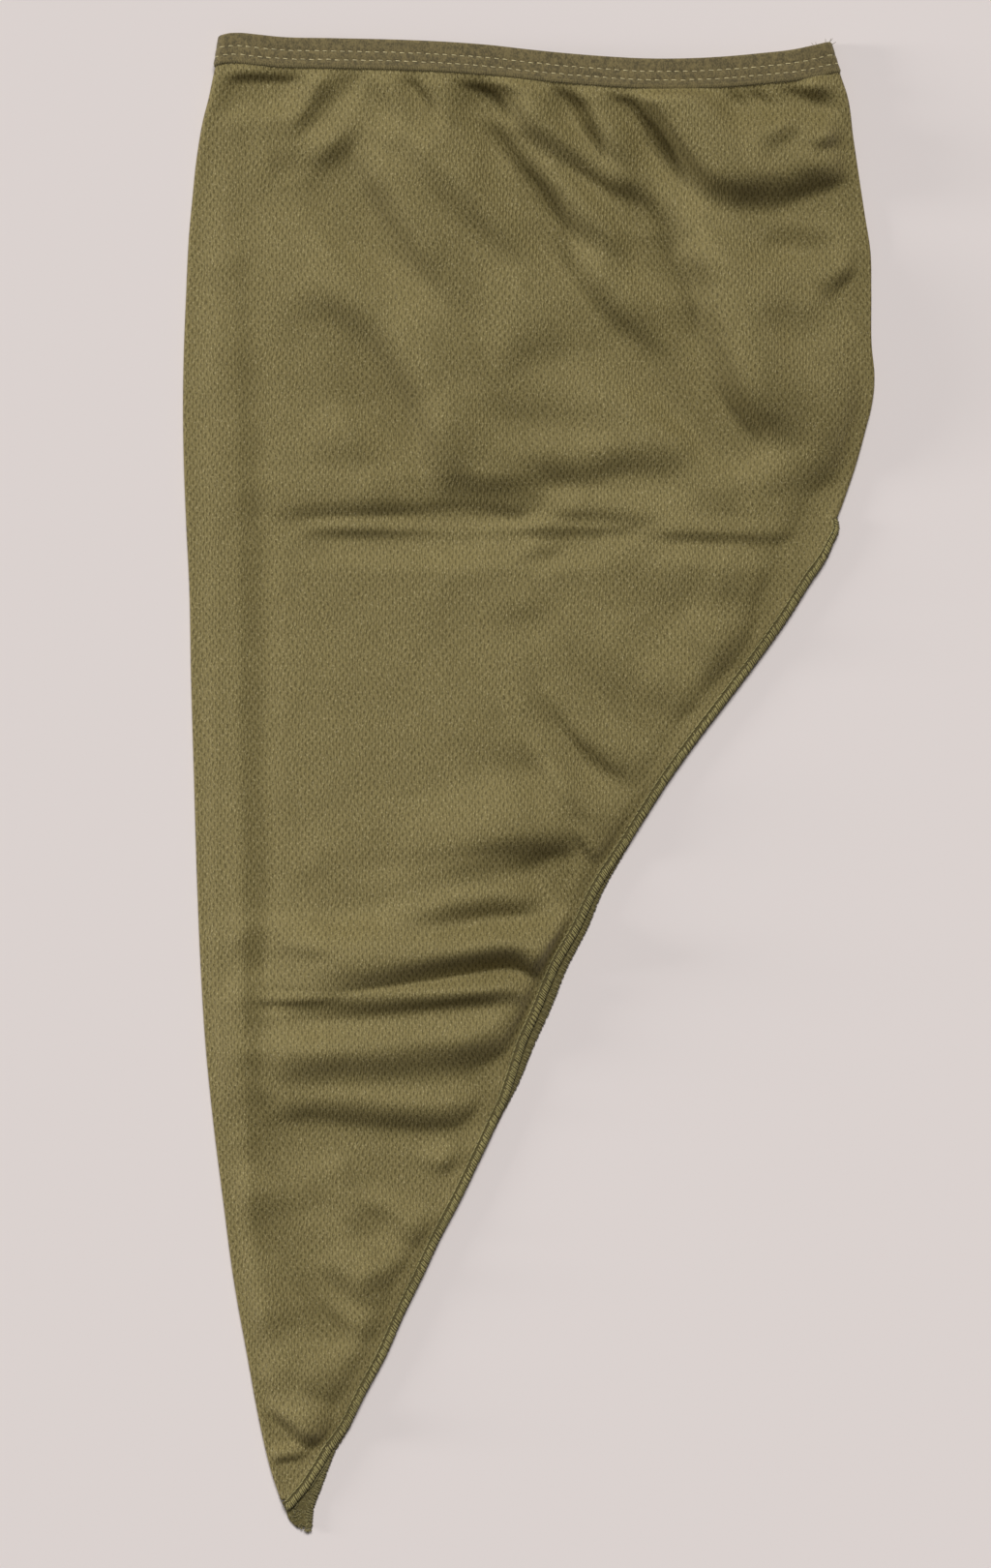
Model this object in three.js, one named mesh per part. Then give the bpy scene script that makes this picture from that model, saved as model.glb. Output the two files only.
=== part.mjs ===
// A tube scarf of mesh cloth with a pointed drop, lying flat. Millimetres, +Z up.
// The cloth is one piece: folded along its left side, joined by a seam up its right side,
// and open at the top and along the slanted edge that ends in the tip.
// X runs across the scarf, +Y points to the band at the top, and the scarf lies on Z = 0.

import * as THREE from 'three';

// Cloth
const CLOTH_THICKNESS = 1.0;
const TRIM_THICKNESS = 1.0;       // one leg of the folded band
const SEWN_GAP = 0.3;             // air between cloth and a trim folded over it
const ROW_PITCH = 8.2;            // rows of the cloth grid, along Y
const FINE_ROW_PITCH = 4.9;       // rows where the packing folds lie
const COLUMN_PITCH = 9.0;         // columns of the upper layer
const BAND_COLUMNS = 30;          // columns of the upper layer in the band
const BAND_COLUMN_PITCH = 7.2;    // and next to it
const LOWER_COLUMNS = 6;          // columns of the lower layer, which lies flat

// Heights of the middle of the cloth
const FOLD_RADIUS = 0.9;          // sides of the flattened tube
const BAND_FOLD_RADIUS = 2.15;    // the same where the band is folded over the cloth
const MOUTH_HEIGHT = 10.0;        // upper layer in the open mouth
const BODY_HEIGHT = 9.8;          // upper layer in the middle of the scarf
const TAIL_HEIGHT = 4.6;          // upper layer near the tip
const RIM_HEIGHT = 4.25;          // upper layer at the slanted edge
const LOWER_RIM_HEIGHT = 1.3;     // lower layer at the slanted edge
const SIDE_ROLL = 14;             // width of the rounded side of the upper layer
const SIDE_RAMP = 45;             // width of the gentle rise behind it
const ROLL_SHARE = 0.6;           // share of the height that the rounded side takes

// Band along the top
const TOP_Y = 262;                // top edge at the folded side
const BAND_START_X = -109;
const BAND_END_X = 106;
const BAND_HEIGHT = 10.5;
const BAND_ZONE = 14;             // length of cloth that stays straight in and under the band
const BAND_FADE = 48;             // length over which the band's shape runs out into the cloth
const SAG_FADE = 60;              // and over which the rows straighten

// Overlocked edge
const HEM_WIDTH = 3.4;
const HEM_LEG = 0.5;
const SEAM_END_Y = 93.8;          // lower end of the joining seam
const HEM_START_Y = 86.5;
const CLOTH_END_Y = -251;         // last row of the cloth above the tip

const TOP_EDGE = [
  { x: -109.3, y: 262.0 }, { x: -102.5, y: 263.5 }, { x: -89, y: 262.0 }, { x: -48, y: 260.8 },
  { x: 0, y: 257.0 }, { x: 27, y: 254.7 }, { x: 47, y: 254.0 }, { x: 67.5, y: 254.7 },
  { x: 95, y: 257.7 }, { x: 106.6, y: 260.4 },
];

const LEFT_EDGE = [
  { y: -263.5, x: -82 }, { y: -255, x: -86.2 }, { y: -242, x: -90.6 }, { y: -228, x: -94 },
  { y: -201, x: -99.1 }, { y: -174, x: -103.9 }, { y: -146, x: -107.6 }, { y: -119, x: -111 },
  { y: -92, x: -113.7 }, { y: -65, x: -115.4 }, { y: -31, x: -116.8 }, { y: 37, x: -118.8 },
  { y: 91, x: -120.5 }, { y: 130, x: -121.6 }, { y: 173, x: -120.5 }, { y: 207, x: -118.2 },
  { y: 234, x: -114.4 }, { y: 250, x: -111.1 }, { y: 262, x: -109.3 },
];

const RIGHT_EDGE = [
  { y: -263.5, x: -76.6 }, { y: -255, x: -75.7 }, { y: -248.5, x: -73.6 }, { y: -242, x: -70.9 },
  { y: -228, x: -64.1 }, { y: -201, x: -50.1 }, { y: -174, x: -37.6 }, { y: -146, x: -24 },
  { y: -119, x: -10.7 }, { y: -92, x: 1.9 }, { y: -65, x: 13.4 }, { y: -38, x: 26 },
  { y: -10.5, x: 42 }, { y: 16.7, x: 60.7 }, { y: 44, x: 81.4 }, { y: 71, x: 99.5 },
  { y: 84.7, x: 107.3 }, { y: 93.8, x: 109.2 }, { y: 98, x: 110.3 }, { y: 112, x: 115.1 },
  { y: 125.5, x: 118.8 }, { y: 141, x: 121.6 }, { y: 153, x: 120.8 }, { y: 173, x: 120.5 },
  { y: 200, x: 118.2 }, { y: 227, x: 114.4 }, { y: 241, x: 112.7 }, { y: 251, x: 109 },
  { y: 260, x: 106.6 },
];

// How far the lower layer shows beyond the upper layer's slanted edge
const LOWER_LAYER_SHOWS = [
  { y: -263.5, by: 9 }, { y: -255, by: 7.5 }, { y: -248, by: 4.6 }, { y: -238, by: 1.8 },
  { y: -228, by: 0 }, { y: -120, by: 0 }, { y: -108, by: 1.6 }, { y: -90, by: 3.0 },
  { y: -60, by: 2.8 }, { y: -34, by: 1.2 }, { y: -20, by: 0 }, { y: 94, by: 0 },
];

const UPPER_LAYER_HEIGHT = [
  { y: -263.5, z: RIM_HEIGHT }, { y: -225, z: TAIL_HEIGHT }, { y: -150, z: 6.4 },
  { y: -60, z: 8.4 }, { y: -14, z: BODY_HEIGHT }, { y: 225, z: BODY_HEIGHT },
  { y: 242, z: MOUTH_HEIGHT }, { y: 263.5, z: MOUTH_HEIGHT },
];

// Folds of the upper layer. Each falls from the left hand of its path to the right hand:
// a ridge `lit` wide on the left, a hollow `shade` wide on the right, and `rise` from middle to ridge.
const FOLDS = [
  { name: 'swoop', lit: 5, shade: 6, path: [
    { x: 27, y: 247, rise: 0.5 }, { x: 38, y: 235, rise: 1.8 }, { x: 49, y: 227, rise: 2.4 },
    { x: 57, y: 217, rise: 2.4 }, { x: 64, y: 209, rise: 2.4 }, { x: 76, y: 207, rise: 2.6 },
    { x: 92, y: 210, rise: 2.4 }, { x: 104, y: 212, rise: 1.6 }, { x: 116, y: 213, rise: 0 }] },
  { name: 'right_edge', lit: 5, shade: 5, path: [
    { x: 98, y: 170, rise: 0 }, { x: 108, y: 177, rise: 0.8 }, { x: 119, y: 183, rise: 0 }] },
  { name: 'long_diagonal', lit: 5, shade: 5, path: [
    { x: 4, y: 196, rise: 0 }, { x: 14, y: 184, rise: 0.9 }, { x: 26, y: 170, rise: 1.2 },
    { x: 40, y: 155, rise: 1.2 }, { x: 56, y: 142, rise: 1.2 }, { x: 76, y: 128, rise: 1.2 },
    { x: 98, y: 121, rise: 0 }] },
  { name: 'shoulder', lit: 7, shade: 8, path: [
    { x: 38, y: 206, rise: 0 }, { x: 50, y: 194, rise: 0.9 }, { x: 58, y: 176, rise: 1.2 },
    { x: 66, y: 157, rise: 1.3 }, { x: 76, y: 143, rise: 1.6 }, { x: 88, y: 132, rise: 1.2 },
    { x: 100, y: 122, rise: 0 }] },
  { name: 'gather_diagonal', lit: 4.5, shade: 4.5, path: [
    { x: -29, y: 250, rise: 0.2 }, { x: -16, y: 245, rise: 1.1 }, { x: -7, y: 238, rise: 1.3 },
    { x: 2, y: 228, rise: 1.3 }, { x: 14, y: 220, rise: 1.5 }, { x: 28, y: 210, rise: 1.6 },
    { x: 40, y: 205, rise: 1.2 }, { x: 52, y: 201, rise: 0 }] },
  { name: 'gather_inner', lit: 5, shade: 5, path: [
    { x: -18, y: 233, rise: 0 }, { x: -8, y: 224, rise: 0.9 }, { x: 2, y: 214, rise: 1.3 },
    { x: 12, y: 204, rise: 1.2 }, { x: 22, y: 195, rise: 0.7 }, { x: 36, y: 186, rise: 0 }] },
  { name: 'gather_short', lit: 4.5, shade: 4.5, path: [
    { x: 9, y: 246, rise: 0.4 }, { x: 19, y: 234, rise: 1.0 }, { x: 28, y: 224, rise: 0.9 },
    { x: 36, y: 218, rise: 0 }] },
  { name: 'left_diagonal', lit: 5, shade: 5, path: [
    { x: -46, y: 221, rise: 0 }, { x: -36, y: 214, rise: 0.7 }, { x: -26, y: 205, rise: 0.9 },
    { x: -18, y: 198, rise: 0.9 }, { x: -4, y: 188, rise: 0 }] },
  { name: 'far_left_diagonal', lit: 6, shade: 6, path: [
    { x: -62, y: 216, rise: 0 }, { x: -54, y: 205, rise: 0.8 }, { x: -47, y: 194, rise: 0.8 },
    { x: -40, y: 183, rise: 0.7 }, { x: -28, y: 172, rise: 0 }] },
  { name: 'lower_left_diagonal', lit: 8, shade: 7, path: [
    { x: -84, y: 168, rise: 0 }, { x: -70, y: 163, rise: 0.9 }, { x: -58, y: 154, rise: 0.9 },
    { x: -48, y: 139, rise: 1.0 }, { x: -38, y: 127, rise: 0.8 }, { x: -20, y: 116, rise: 0.2 }] },
  { name: 'band_gather_left', lit: 5, shade: 5, path: [
    { x: -80, y: 228, rise: 0 }, { x: -72, y: 238, rise: 0.8 }, { x: -62, y: 248, rise: 0.4 }] },
  { name: 'band_gather_right', lit: 5, shade: 5, path: [
    { x: 86, y: 246, rise: 0.4 }, { x: 96, y: 241, rise: 1.2 }, { x: 106, y: 240, rise: 0 }] },
  { name: 'lobe_dimple', lit: 4.5, shade: 4.5, path: [
    { x: 80, y: 220, rise: 0 }, { x: 89, y: 226, rise: 1.0 }, { x: 100, y: 236, rise: 0 }] },
  { name: 'crease_left', lit: 6, shade: 3.5, path: [
    { x: -90, y: 93, rise: 0 }, { x: -55, y: 96.5, rise: 0.9 }, { x: -20, y: 98, rise: 2.0 },
    { x: -6, y: 96, rise: 1.8 }, { x: 4, y: 93.5, rise: 0 }] },
  { name: 'crease_right', lit: 5.5, shade: 5, path: [
    { x: -22, y: 111, rise: 0 }, { x: -4, y: 111, rise: 0.9 }, { x: 8, y: 108, rise: 1.3 },
    { x: 34, y: 111, rise: 1.5 }, { x: 46, y: 110, rise: 1.1 }, { x: 60, y: 108, rise: 0 }] },
  { name: 'right_patch', lit: 8, shade: 8, path: [
    { x: 18, y: 66, rise: 0 }, { x: 27, y: 48, rise: 0.8 }, { x: 34, y: 36, rise: 0.9 },
    { x: 46, y: 24, rise: 0 }] },
  { name: 'hem_diagonal', lit: 5, shade: 5, path: [
    { x: 0, y: 30, rise: 0 }, { x: 10, y: 23, rise: 0.6 }, { x: 20, y: 13, rise: 1.0 },
    { x: 30, y: 7, rise: 1.1 }, { x: 44, y: 2, rise: 0 }] },
  { name: 'hem_roll', lit: 8, shade: 7, path: [
    { x: 38, y: 0, rise: 0 }, { x: 52, y: 18, rise: 0.9 }, { x: 66, y: 38, rise: 1.0 },
    { x: 78, y: 56, rise: 1.2 }, { x: 87, y: 74, rise: 1.3 }, { x: 95, y: 90, rise: 1.3 },
    { x: 103, y: 108, rise: 1.1 }, { x: 109, y: 128, rise: 1.0 }, { x: 112, y: 160, rise: 0.9 },
    { x: 113, y: 192, rise: 0 }] },
  { name: 'low_fold_1', lit: 6, shade: 5, path: [
    { x: -54, y: -29, rise: 0 }, { x: -40, y: -28, rise: 1.0 }, { x: -26, y: -27, rise: 1.3 },
    { x: -12, y: -24, rise: 1.8 }, { x: 4, y: -22, rise: 2.1 }, { x: 16, y: -24, rise: 1.4 },
    { x: 28, y: -31, rise: 0 }] },
  { name: 'low_fold_2', lit: 4.5, shade: 4.5, path: [
    { x: -56, y: -52, rise: 0 }, { x: -42, y: -49, rise: 0.7 }, { x: -28, y: -45, rise: 1.1 },
    { x: -14, y: -44, rise: 1.3 }, { x: -2, y: -44, rise: 1.0 }, { x: 10, y: -38, rise: 0 }] },
  { name: 'low_fold_3', lit: 5.5, shade: 4, path: [
    { x: -90, y: -59, rise: 0 }, { x: -70, y: -66, rise: 0.9 }, { x: -56, y: -67, rise: 1.8 },
    { x: -40, y: -65, rise: 2.2 }, { x: -24, y: -62, rise: 2.4 }, { x: -9, y: -60, rise: 2.3 },
    { x: 4, y: -64, rise: 1.4 }, { x: 13, y: -67, rise: 0 }] },
  { name: 'low_fold_4', lit: 6.5, shade: 5, path: [
    { x: -97, y: -108, rise: 0 }, { x: -88, y: -103, rise: 1.3 }, { x: -78, y: -100, rise: 1.8 },
    { x: -42, y: -99, rise: 1.9 }, { x: -26, y: -97, rise: 1.8 }, { x: -12, y: -93, rise: 1.4 },
    { x: 2, y: -91, rise: 0 }] },
  { name: 'low_fold_5', lit: 4.5, shade: 5, path: [
    { x: -95, y: -114, rise: 0 }, { x: -84, y: -115.5, rise: 1.2 }, { x: -66, y: -117.5, rise: 1.6 },
    { x: -48, y: -118.5, rise: 1.7 }, { x: -34, y: -118.5, rise: 1.5 }, { x: -16, y: -113, rise: 0 }] },
  { name: 'tail_fold', lit: 5, shade: 5, path: [
    { x: -66, y: -131, rise: 0 }, { x: -50, y: -134, rise: 0.7 }, { x: -36, y: -140, rise: 0.6 },
    { x: -24, y: -146, rise: 0 }] },
  { name: 'tip_fold', lit: 4.5, shade: 4.5, path: [
    { x: -96, y: -218, rise: 0 }, { x: -86, y: -225, rise: 0.8 }, { x: -78, y: -230, rise: 0.7 },
    { x: -68, y: -231, rise: 0 }] },
];

const clamp = (v, low, high) => Math.min(high, Math.max(low, v));
const mix = (a, b, t) => a + (b - a) * t;
const ease = (t) => { const s = clamp(t, 0, 1); return s * s * (3 - 2 * s); };

// Smooth curve through a table's rows, from the column `from` to the column `to`.
function follow(table, from, to, value) {
  const v = clamp(value, table[0][from], table[table.length - 1][from]);
  let i = 0;
  while (i < table.length - 2 && v > table[i + 1][from]) i += 1;
  const slope = (k) => {
    const a = table[Math.max(0, k - 1)];
    const b = table[Math.min(table.length - 1, k + 1)];
    return (b[to] - a[to]) / (b[from] - a[from]);
  };
  const [p, q] = [table[i], table[i + 1]];
  const span = q[from] - p[from];
  const t = (v - p[from]) / span;
  const a = slope(i) * span - (q[to] - p[to]);
  const b = -slope(i + 1) * span + (q[to] - p[to]);
  return mix(p[to], q[to], t) + t * (1 - t) * (a * (1 - t) + b * t);
}

// Straight lines between a table's rows, for values that must not overshoot.
function followStraight(table, from, to, value) {
  const v = clamp(value, table[0][from], table[table.length - 1][from]);
  let i = 0;
  while (i < table.length - 2 && v > table[i + 1][from]) i += 1;
  const [p, q] = [table[i], table[i + 1]];
  return mix(p[to], q[to], (v - p[from]) / (q[from] - p[from]));
}

const topEdge = (x) => follow(TOP_EDGE, 'x', 'y', x);
const bandEdge = (x) => topEdge(clamp(x, BAND_START_X, BAND_END_X));
const leftEdge = (y) => follow(LEFT_EDGE, 'y', 'x', y);
const lowerRightEdge = (y) => follow(RIGHT_EDGE, 'y', 'x', y);
const upperRightEdge = (y) => lowerRightEdge(y) - followStraight(LOWER_LAYER_SHOWS, 'y', 'by', y);

// Length along a slanted edge for each unit of Y.
const edgeSlope = (edge, y) => Math.hypot(1, (edge(y + 5) - edge(y - 5)) / 10);

// How far the upper layer has risen at a distance from its side.
const sideRise = (from) => mix(ease(from / SIDE_RAMP), ease(from / SIDE_ROLL), ROLL_SHARE);

// Height of one fold at a point: the nearest place on its path decides distance, hand and rise.
function foldHeight(fold, x, y) {
  let best = { distance: Infinity, hand: 1, rise: 0 };
  for (let i = 0; i + 1 < fold.path.length; i += 1) {
    const a = fold.path[i];
    const b = fold.path[i + 1];
    const dx = b.x - a.x;
    const dy = b.y - a.y;
    const t = clamp(((x - a.x) * dx + (y - a.y) * dy) / (dx * dx + dy * dy), 0, 1);
    const ox = x - a.x - t * dx;
    const oy = y - a.y - t * dy;
    const distance = Math.hypot(ox, oy);
    if (distance < best.distance) {
      best = { distance, hand: Math.sign(dy * ox - dx * oy), rise: mix(a.rise, b.rise, t) };
    }
  }
  const width = best.hand > 0 ? fold.shade : fold.lit;
  const s = best.distance / width;
  const height = best.rise * width / fold.lit;
  return -best.hand * height * Math.exp(0.5) * s * Math.exp(-s * s / 2);
}

// The band's own shape: 1 in the band, running out to 0 in the cloth below it.
const bandShare = (below) => 1 - ease((below - BAND_ZONE) / BAND_FADE);

// The slanted edge's own shape: 0 above the seam's end, 1 along the free edge.
const rimShare = (y) => ease((SEAM_END_Y + 22 - y) / 22);

// The tip's own shape, where the edges are all there is of the cloth.
const tipShare = (y) => ease((CLOTH_END_Y + 28 - y) / 24);

function lowerLayerHeight(fromRight, below, y) {
  const half = CLOTH_THICKNESS / 2;
  const flat = mix(half, half + TRIM_THICKNESS + SEWN_GAP, bandShare(below));
  const near = rimShare(y) * (1 - ease((fromRight - HEM_WIDTH - 1) / 12));
  return mix(flat, LOWER_RIM_HEIGHT, Math.max(near, tipShare(y)));
}

// One cross-row of the tube. `level` is the row's distance below the top edge.
function crossRow(level) {
  const sag = (x) => (bandEdge(x) - TOP_Y) * (1 - ease((level - BAND_ZONE) / SAG_FADE));
  const rowY = (x) => TOP_Y - level + sag(x);
  const yLeft = rowY(BAND_START_X);
  const yRight = rowY(BAND_END_X);
  const band = bandShare(level);
  const open = yRight < SEAM_END_Y - 0.01;
  const inset = mix(CLOTH_THICKNESS / 2, CLOTH_THICKNESS / 2 + SEWN_GAP + TRIM_THICKNESS, band);
  const rimRadius = (RIM_HEIGHT - LOWER_RIM_HEIGHT) / 2;
  const radius = mix(mix(FOLD_RADIUS, BAND_FOLD_RADIUS, band), rimRadius, tipShare(yRight));
  const seamRadius = mix(radius, rimRadius, rimShare(yRight) * (1 - band));
  const lowerSlope = edgeSlope(lowerRightEdge, yRight);
  const upperSlope = edgeSlope(upperRightEdge, yRight);
  const hemInset = HEM_LEG + SEWN_GAP;

  const left = leftEdge(yLeft) + inset + radius;
  const lowerRight = lowerRightEdge(yRight) - (open ? hemInset * lowerSlope : inset + seamRadius);
  const upperRight = open ? upperRightEdge(yRight) - hemInset * upperSlope : lowerRight;
  const lowerZ = (x) => lowerLayerHeight((lowerRight - x) / lowerSlope, level, yRight);
  const leftZ = lowerZ(left) + 2 * radius;
  const rightZ = lowerZ(lowerRight) + 2 * seamRadius;

  const upperZ = (x, y) => {
    const fromLeft = x - left;
    const fromRight = (upperRight - x) / upperSlope;
    const ground = mix(leftZ, rightZ, ease((fromLeft - 4) / Math.max(8, upperRight - left - 12)));
    const place = y + (TOP_Y - bandEdge(x)) * band;
    const lift = followStraight(UPPER_LAYER_HEIGHT, 'y', 'z', place) - ground;
    const shape = sideRise(fromLeft) * sideRise(fromRight - HEM_WIDTH);
    const besideHem = ease((fromRight - HEM_WIDTH) / 8);
    const quiet = ease((level - BAND_HEIGHT - 1) / 5) * ease(fromLeft / 10) * besideHem;
    const folds = FOLDS.reduce((sum, fold) => sum + foldHeight(fold, x, y), 0);
    return ground + Math.max(0, lift) * shape + folds * quiet;
  };

  const points = [];
  const add = (x, z, t) => points.push({ x, y: rowY(x), z, t });
  if (!open) {
    add(lowerRight + seamRadius, lowerZ(lowerRight) + seamRadius, -0.5);
    add(lowerRight + seamRadius * 0.707, lowerZ(lowerRight) + seamRadius * 0.293, -0.25);
  }
  for (let i = 0; i <= LOWER_COLUMNS; i += 1) {
    const x = mix(lowerRight, left, i / LOWER_COLUMNS);
    add(x, lowerZ(x), i / LOWER_COLUMNS);
  }
  for (const turn of [0.25, 0.5, 0.75]) {
    const angle = Math.PI * turn;
    add(left - radius * Math.sin(angle), lowerZ(left) + radius * (1 - Math.cos(angle)), 1 + turn);
  }
  const pitch = mix(COLUMN_PITCH, BAND_COLUMN_PITCH, band);
  const width = upperRight - left;
  const columns = band === 1 ? BAND_COLUMNS : Math.max(1, Math.round(width / pitch - (open ? 0.6 : 0)));
  const hemInner = open ? upperRight - Math.min(HEM_WIDTH * upperSlope, width * 0.6) : upperRight;
  for (let i = 0; i <= columns; i += 1) {
    const x = mix(left, hemInner, i / columns);
    add(x, upperZ(x, rowY(x)), 2 + i / columns * (hemInner - left) / width);
  }
  if (open) add(upperRight, upperZ(upperRight, rowY(upperRight)), 3);
  if (!open) {
    add(lowerRight + seamRadius * 0.707, lowerZ(lowerRight) + seamRadius * 1.707, 3.25);
  }
  return { open, yRight, points };
}

// Levels of the rows, from just under the band's bridge down to the tip.
function rowLevels() {
  const levels = [TRIM_THICKNESS + SEWN_GAP, 6.5, BAND_HEIGHT + 1.5, 17.5];
  const levelOf = (y) => TOP_Y - y;
  const seamLevel = levelOf(SEAM_END_Y);
  const run = (from, to, pitch, last) => {
    const count = Math.max(1, Math.round((to - from) / pitch));
    for (let i = 1; i <= count - (last ? 0 : 1); i += 1) levels.push(mix(from, to, i / count));
  };
  run(17.5, seamLevel, ROW_PITCH, true);
  levels.push(seamLevel + 4.5);
  run(seamLevel + 4.5, levelOf(-12), ROW_PITCH, true);
  run(levelOf(-12), levelOf(-128), FINE_ROW_PITCH, true);
  run(levelOf(-128), levelOf(CLOTH_END_Y), ROW_PITCH, true);
  return levels;
}

// Middle surface of the cloth: a triangle strip between each row and the next.
function clothSurface() {
  const vertices = [];
  const faces = [];
  const rows = rowLevels().map(crossRow).map((row) => {
    const start = vertices.length;
    row.points.forEach((p) => vertices.push(new THREE.Vector3(p.x, p.y, p.z)));
    const ids = row.points.map((_, i) => start + i);
    const t = row.points.map((p) => p.t);
    if (!row.open) { ids.push(start); t.push(3.5); }
    return { ids, t, open: row.open };
  });
  for (let r = 0; r + 1 < rows.length; r += 1) {
    const [a, b] = [rows[r], rows[r + 1]];
    let i = 0;
    let j = 0;
    while (i + 1 < a.ids.length || j + 1 < b.ids.length) {
      const nextA = i + 1 < a.ids.length ? a.t[i + 1] : Infinity;
      const nextB = j + 1 < b.ids.length ? b.t[j + 1] : Infinity;
      let stepA = nextA < nextB;
      if (Math.abs(nextA - nextB) < 1e-6) {
        const one = vertices[a.ids[i + 1]].distanceTo(vertices[b.ids[j]]);
        const two = vertices[a.ids[i]].distanceTo(vertices[b.ids[j + 1]]);
        stepA = one < two;
      }
      if (stepA) { faces.push([a.ids[i], a.ids[i + 1], b.ids[j]]); i += 1; }
      else { faces.push([a.ids[i], b.ids[j + 1], b.ids[j]]); j += 1; }
    }
  }
  return { vertices, faces, rows };
}

// Normals of an open triangle surface, one for each vertex.
function surfaceNormals({ vertices, faces }) {
  const normals = vertices.map(() => new THREE.Vector3());
  const [u, v, n] = [new THREE.Vector3(), new THREE.Vector3(), new THREE.Vector3()];
  for (const [a, b, c] of faces) {
    u.subVectors(vertices[b], vertices[a]);
    v.subVectors(vertices[c], vertices[a]);
    n.crossVectors(u, v).normalize();
    const corners = [[a, b, c], [b, c, a], [c, a, b]];
    for (const [p, q, r] of corners) {
      const one = vertices[q].clone().sub(vertices[p]);
      const two = vertices[r].clone().sub(vertices[p]);
      normals[p].addScaledVector(n, one.angleTo(two));
    }
  }
  return normals.map((w) => w.normalize());
}

// Closed solid from a middle surface: both faces at half the thickness, and a rim along each open edge.
function thicken(surface, thickness) {
  const normals = surfaceNormals(surface);
  const count = surface.vertices.length;
  const positions = [];
  for (const side of [0.5, -0.5]) {
    surface.vertices.forEach((p, i) => {
      const q = p.clone().addScaledVector(normals[i], side * thickness);
      positions.push(q.x, q.y, q.z);
    });
  }
  const index = [];
  const used = new Set();
  for (const [a, b, c] of surface.faces) {
    index.push(a, b, c, a + count, c + count, b + count);
    used.add(`${a}_${b}`).add(`${b}_${c}`).add(`${c}_${a}`);
  }
  for (const edge of used) {
    const [a, b] = edge.split('_').map(Number);
    if (!used.has(`${b}_${a}`)) index.push(b, a, a + count, b, a + count, b + count);
  }
  return { positions, index };
}

// Closed solid from equal sections: rings of points joined in turn, closed on itself or capped by the caller.
function loft(sections, closed) {
  const size = sections[0].length;
  const positions = sections.flat().flatMap((p) => [p.x, p.y, p.z]);
  const index = [];
  const last = closed ? sections.length : sections.length - 1;
  for (let s = 0; s < last; s += 1) {
    const a = s * size;
    const b = ((s + 1) % sections.length) * size;
    for (let i = 0; i < size; i += 1) {
      const j = (i + 1) % size;
      index.push(a + i, b + i, b + j, a + i, b + j, a + j);
    }
  }
  return { positions, index, size, sections };
}

function meshOf(name, { positions, index }, material) {
  const geometry = new THREE.BufferGeometry();
  geometry.setAttribute('position', new THREE.Float32BufferAttribute(positions, 3));
  geometry.setIndex(index);
  geometry.computeVertexNormals();
  const mesh = new THREE.Mesh(geometry, material);
  mesh.name = name;
  return mesh;
}

// Folded band: a leg outside the cloth, a bridge over its top edge and a leg inside it.
function bandSolid() {
  const upper = crossRow(TRIM_THICKNESS + SEWN_GAP).points;
  const lower = crossRow(BAND_HEIGHT + 1.5).points;
  const half = CLOTH_THICKNESS / 2 + SEWN_GAP;
  const full = half + TRIM_THICKNESS;
  const sections = upper.map((p, i) => {
    const before = upper[(i + upper.length - 1) % upper.length];
    const after = upper[(i + 1) % upper.length];
    const one = new THREE.Vector2(p.x - before.x, p.z - before.z).normalize();
    const two = new THREE.Vector2(after.x - p.x, after.z - p.z).normalize();
    const along = one.clone().add(two).normalize();
    const stretch = 1 / Math.max(0.8, along.dot(one));
    const out = new THREE.Vector2(-along.y, along.x).multiplyScalar(stretch);
    const top = p.y + TRIM_THICKNESS + SEWN_GAP;
    const at = (offset, down) => {
      const share = (down - TRIM_THICKNESS - SEWN_GAP) / (BAND_HEIGHT + 0.2 - TRIM_THICKNESS);
      const x = mix(p.x, lower[i].x, share) + out.x * offset;
      return new THREE.Vector3(x, top - down, mix(p.z, lower[i].z, share) + out.y * offset);
    };
    return [
      at(full, BAND_HEIGHT), at(full, 0.6), at(full - 0.6, 0), at(-full + 0.6, 0), at(-full, 0.6),
      at(-full, BAND_HEIGHT), at(-half, BAND_HEIGHT), at(-half, TRIM_THICKNESS), at(half, TRIM_THICKNESS),
      at(half, BAND_HEIGHT),
    ];
  });
  return loft(sections, true);
}

// Path of an overlocked edge: beside each open row of the cloth, then on to its own end.
function hemPath(edge, height, tailEnds) {
  const rows = rowLevels().map((level) => crossRow(level).yRight).filter((y) => y < HEM_START_Y - 1);
  return [HEM_START_Y, ...rows, ...tailEnds].map((y) => new THREE.Vector3(edge(y), y, height));
}

// Overlocked edge: a channel of thread around the cloth's free edge, open towards the cloth.
function hemSolid(stops) {
  const half = CLOTH_THICKNESS / 2 + SEWN_GAP;
  const full = half + HEM_LEG;
  const sections = stops.map((p, i) => {
    const before = stops[Math.max(0, i - 1)];
    const after = stops[Math.min(stops.length - 1, i + 1)];
    const run = after.clone().sub(before).setZ(0).normalize();
    const inward = new THREE.Vector3(run.y, -run.x, 0);
    const at = (depth, z) => p.clone().addScaledVector(inward, depth).setZ(p.z + z);
    return [
      at(HEM_WIDTH, full), at(0.5, full), at(0, 0), at(0.5, -full), at(HEM_WIDTH, -full),
      at(HEM_WIDTH, -half), at(HEM_LEG, -half * 0.6), at(HEM_LEG, half * 0.6), at(HEM_WIDTH, half),
    ];
  });
  const solid = loft(sections, false);
  const end = (sections.length - 1) * 9;
  const cap = [[0, 1, 8], [1, 7, 8], [1, 2, 7], [2, 6, 7], [2, 3, 6], [3, 5, 6], [3, 4, 5]];
  for (const [a, b, c] of cap) {
    solid.index.push(a, b, c, end + a, end + c, end + b);
  }
  return solid;
}

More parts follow.
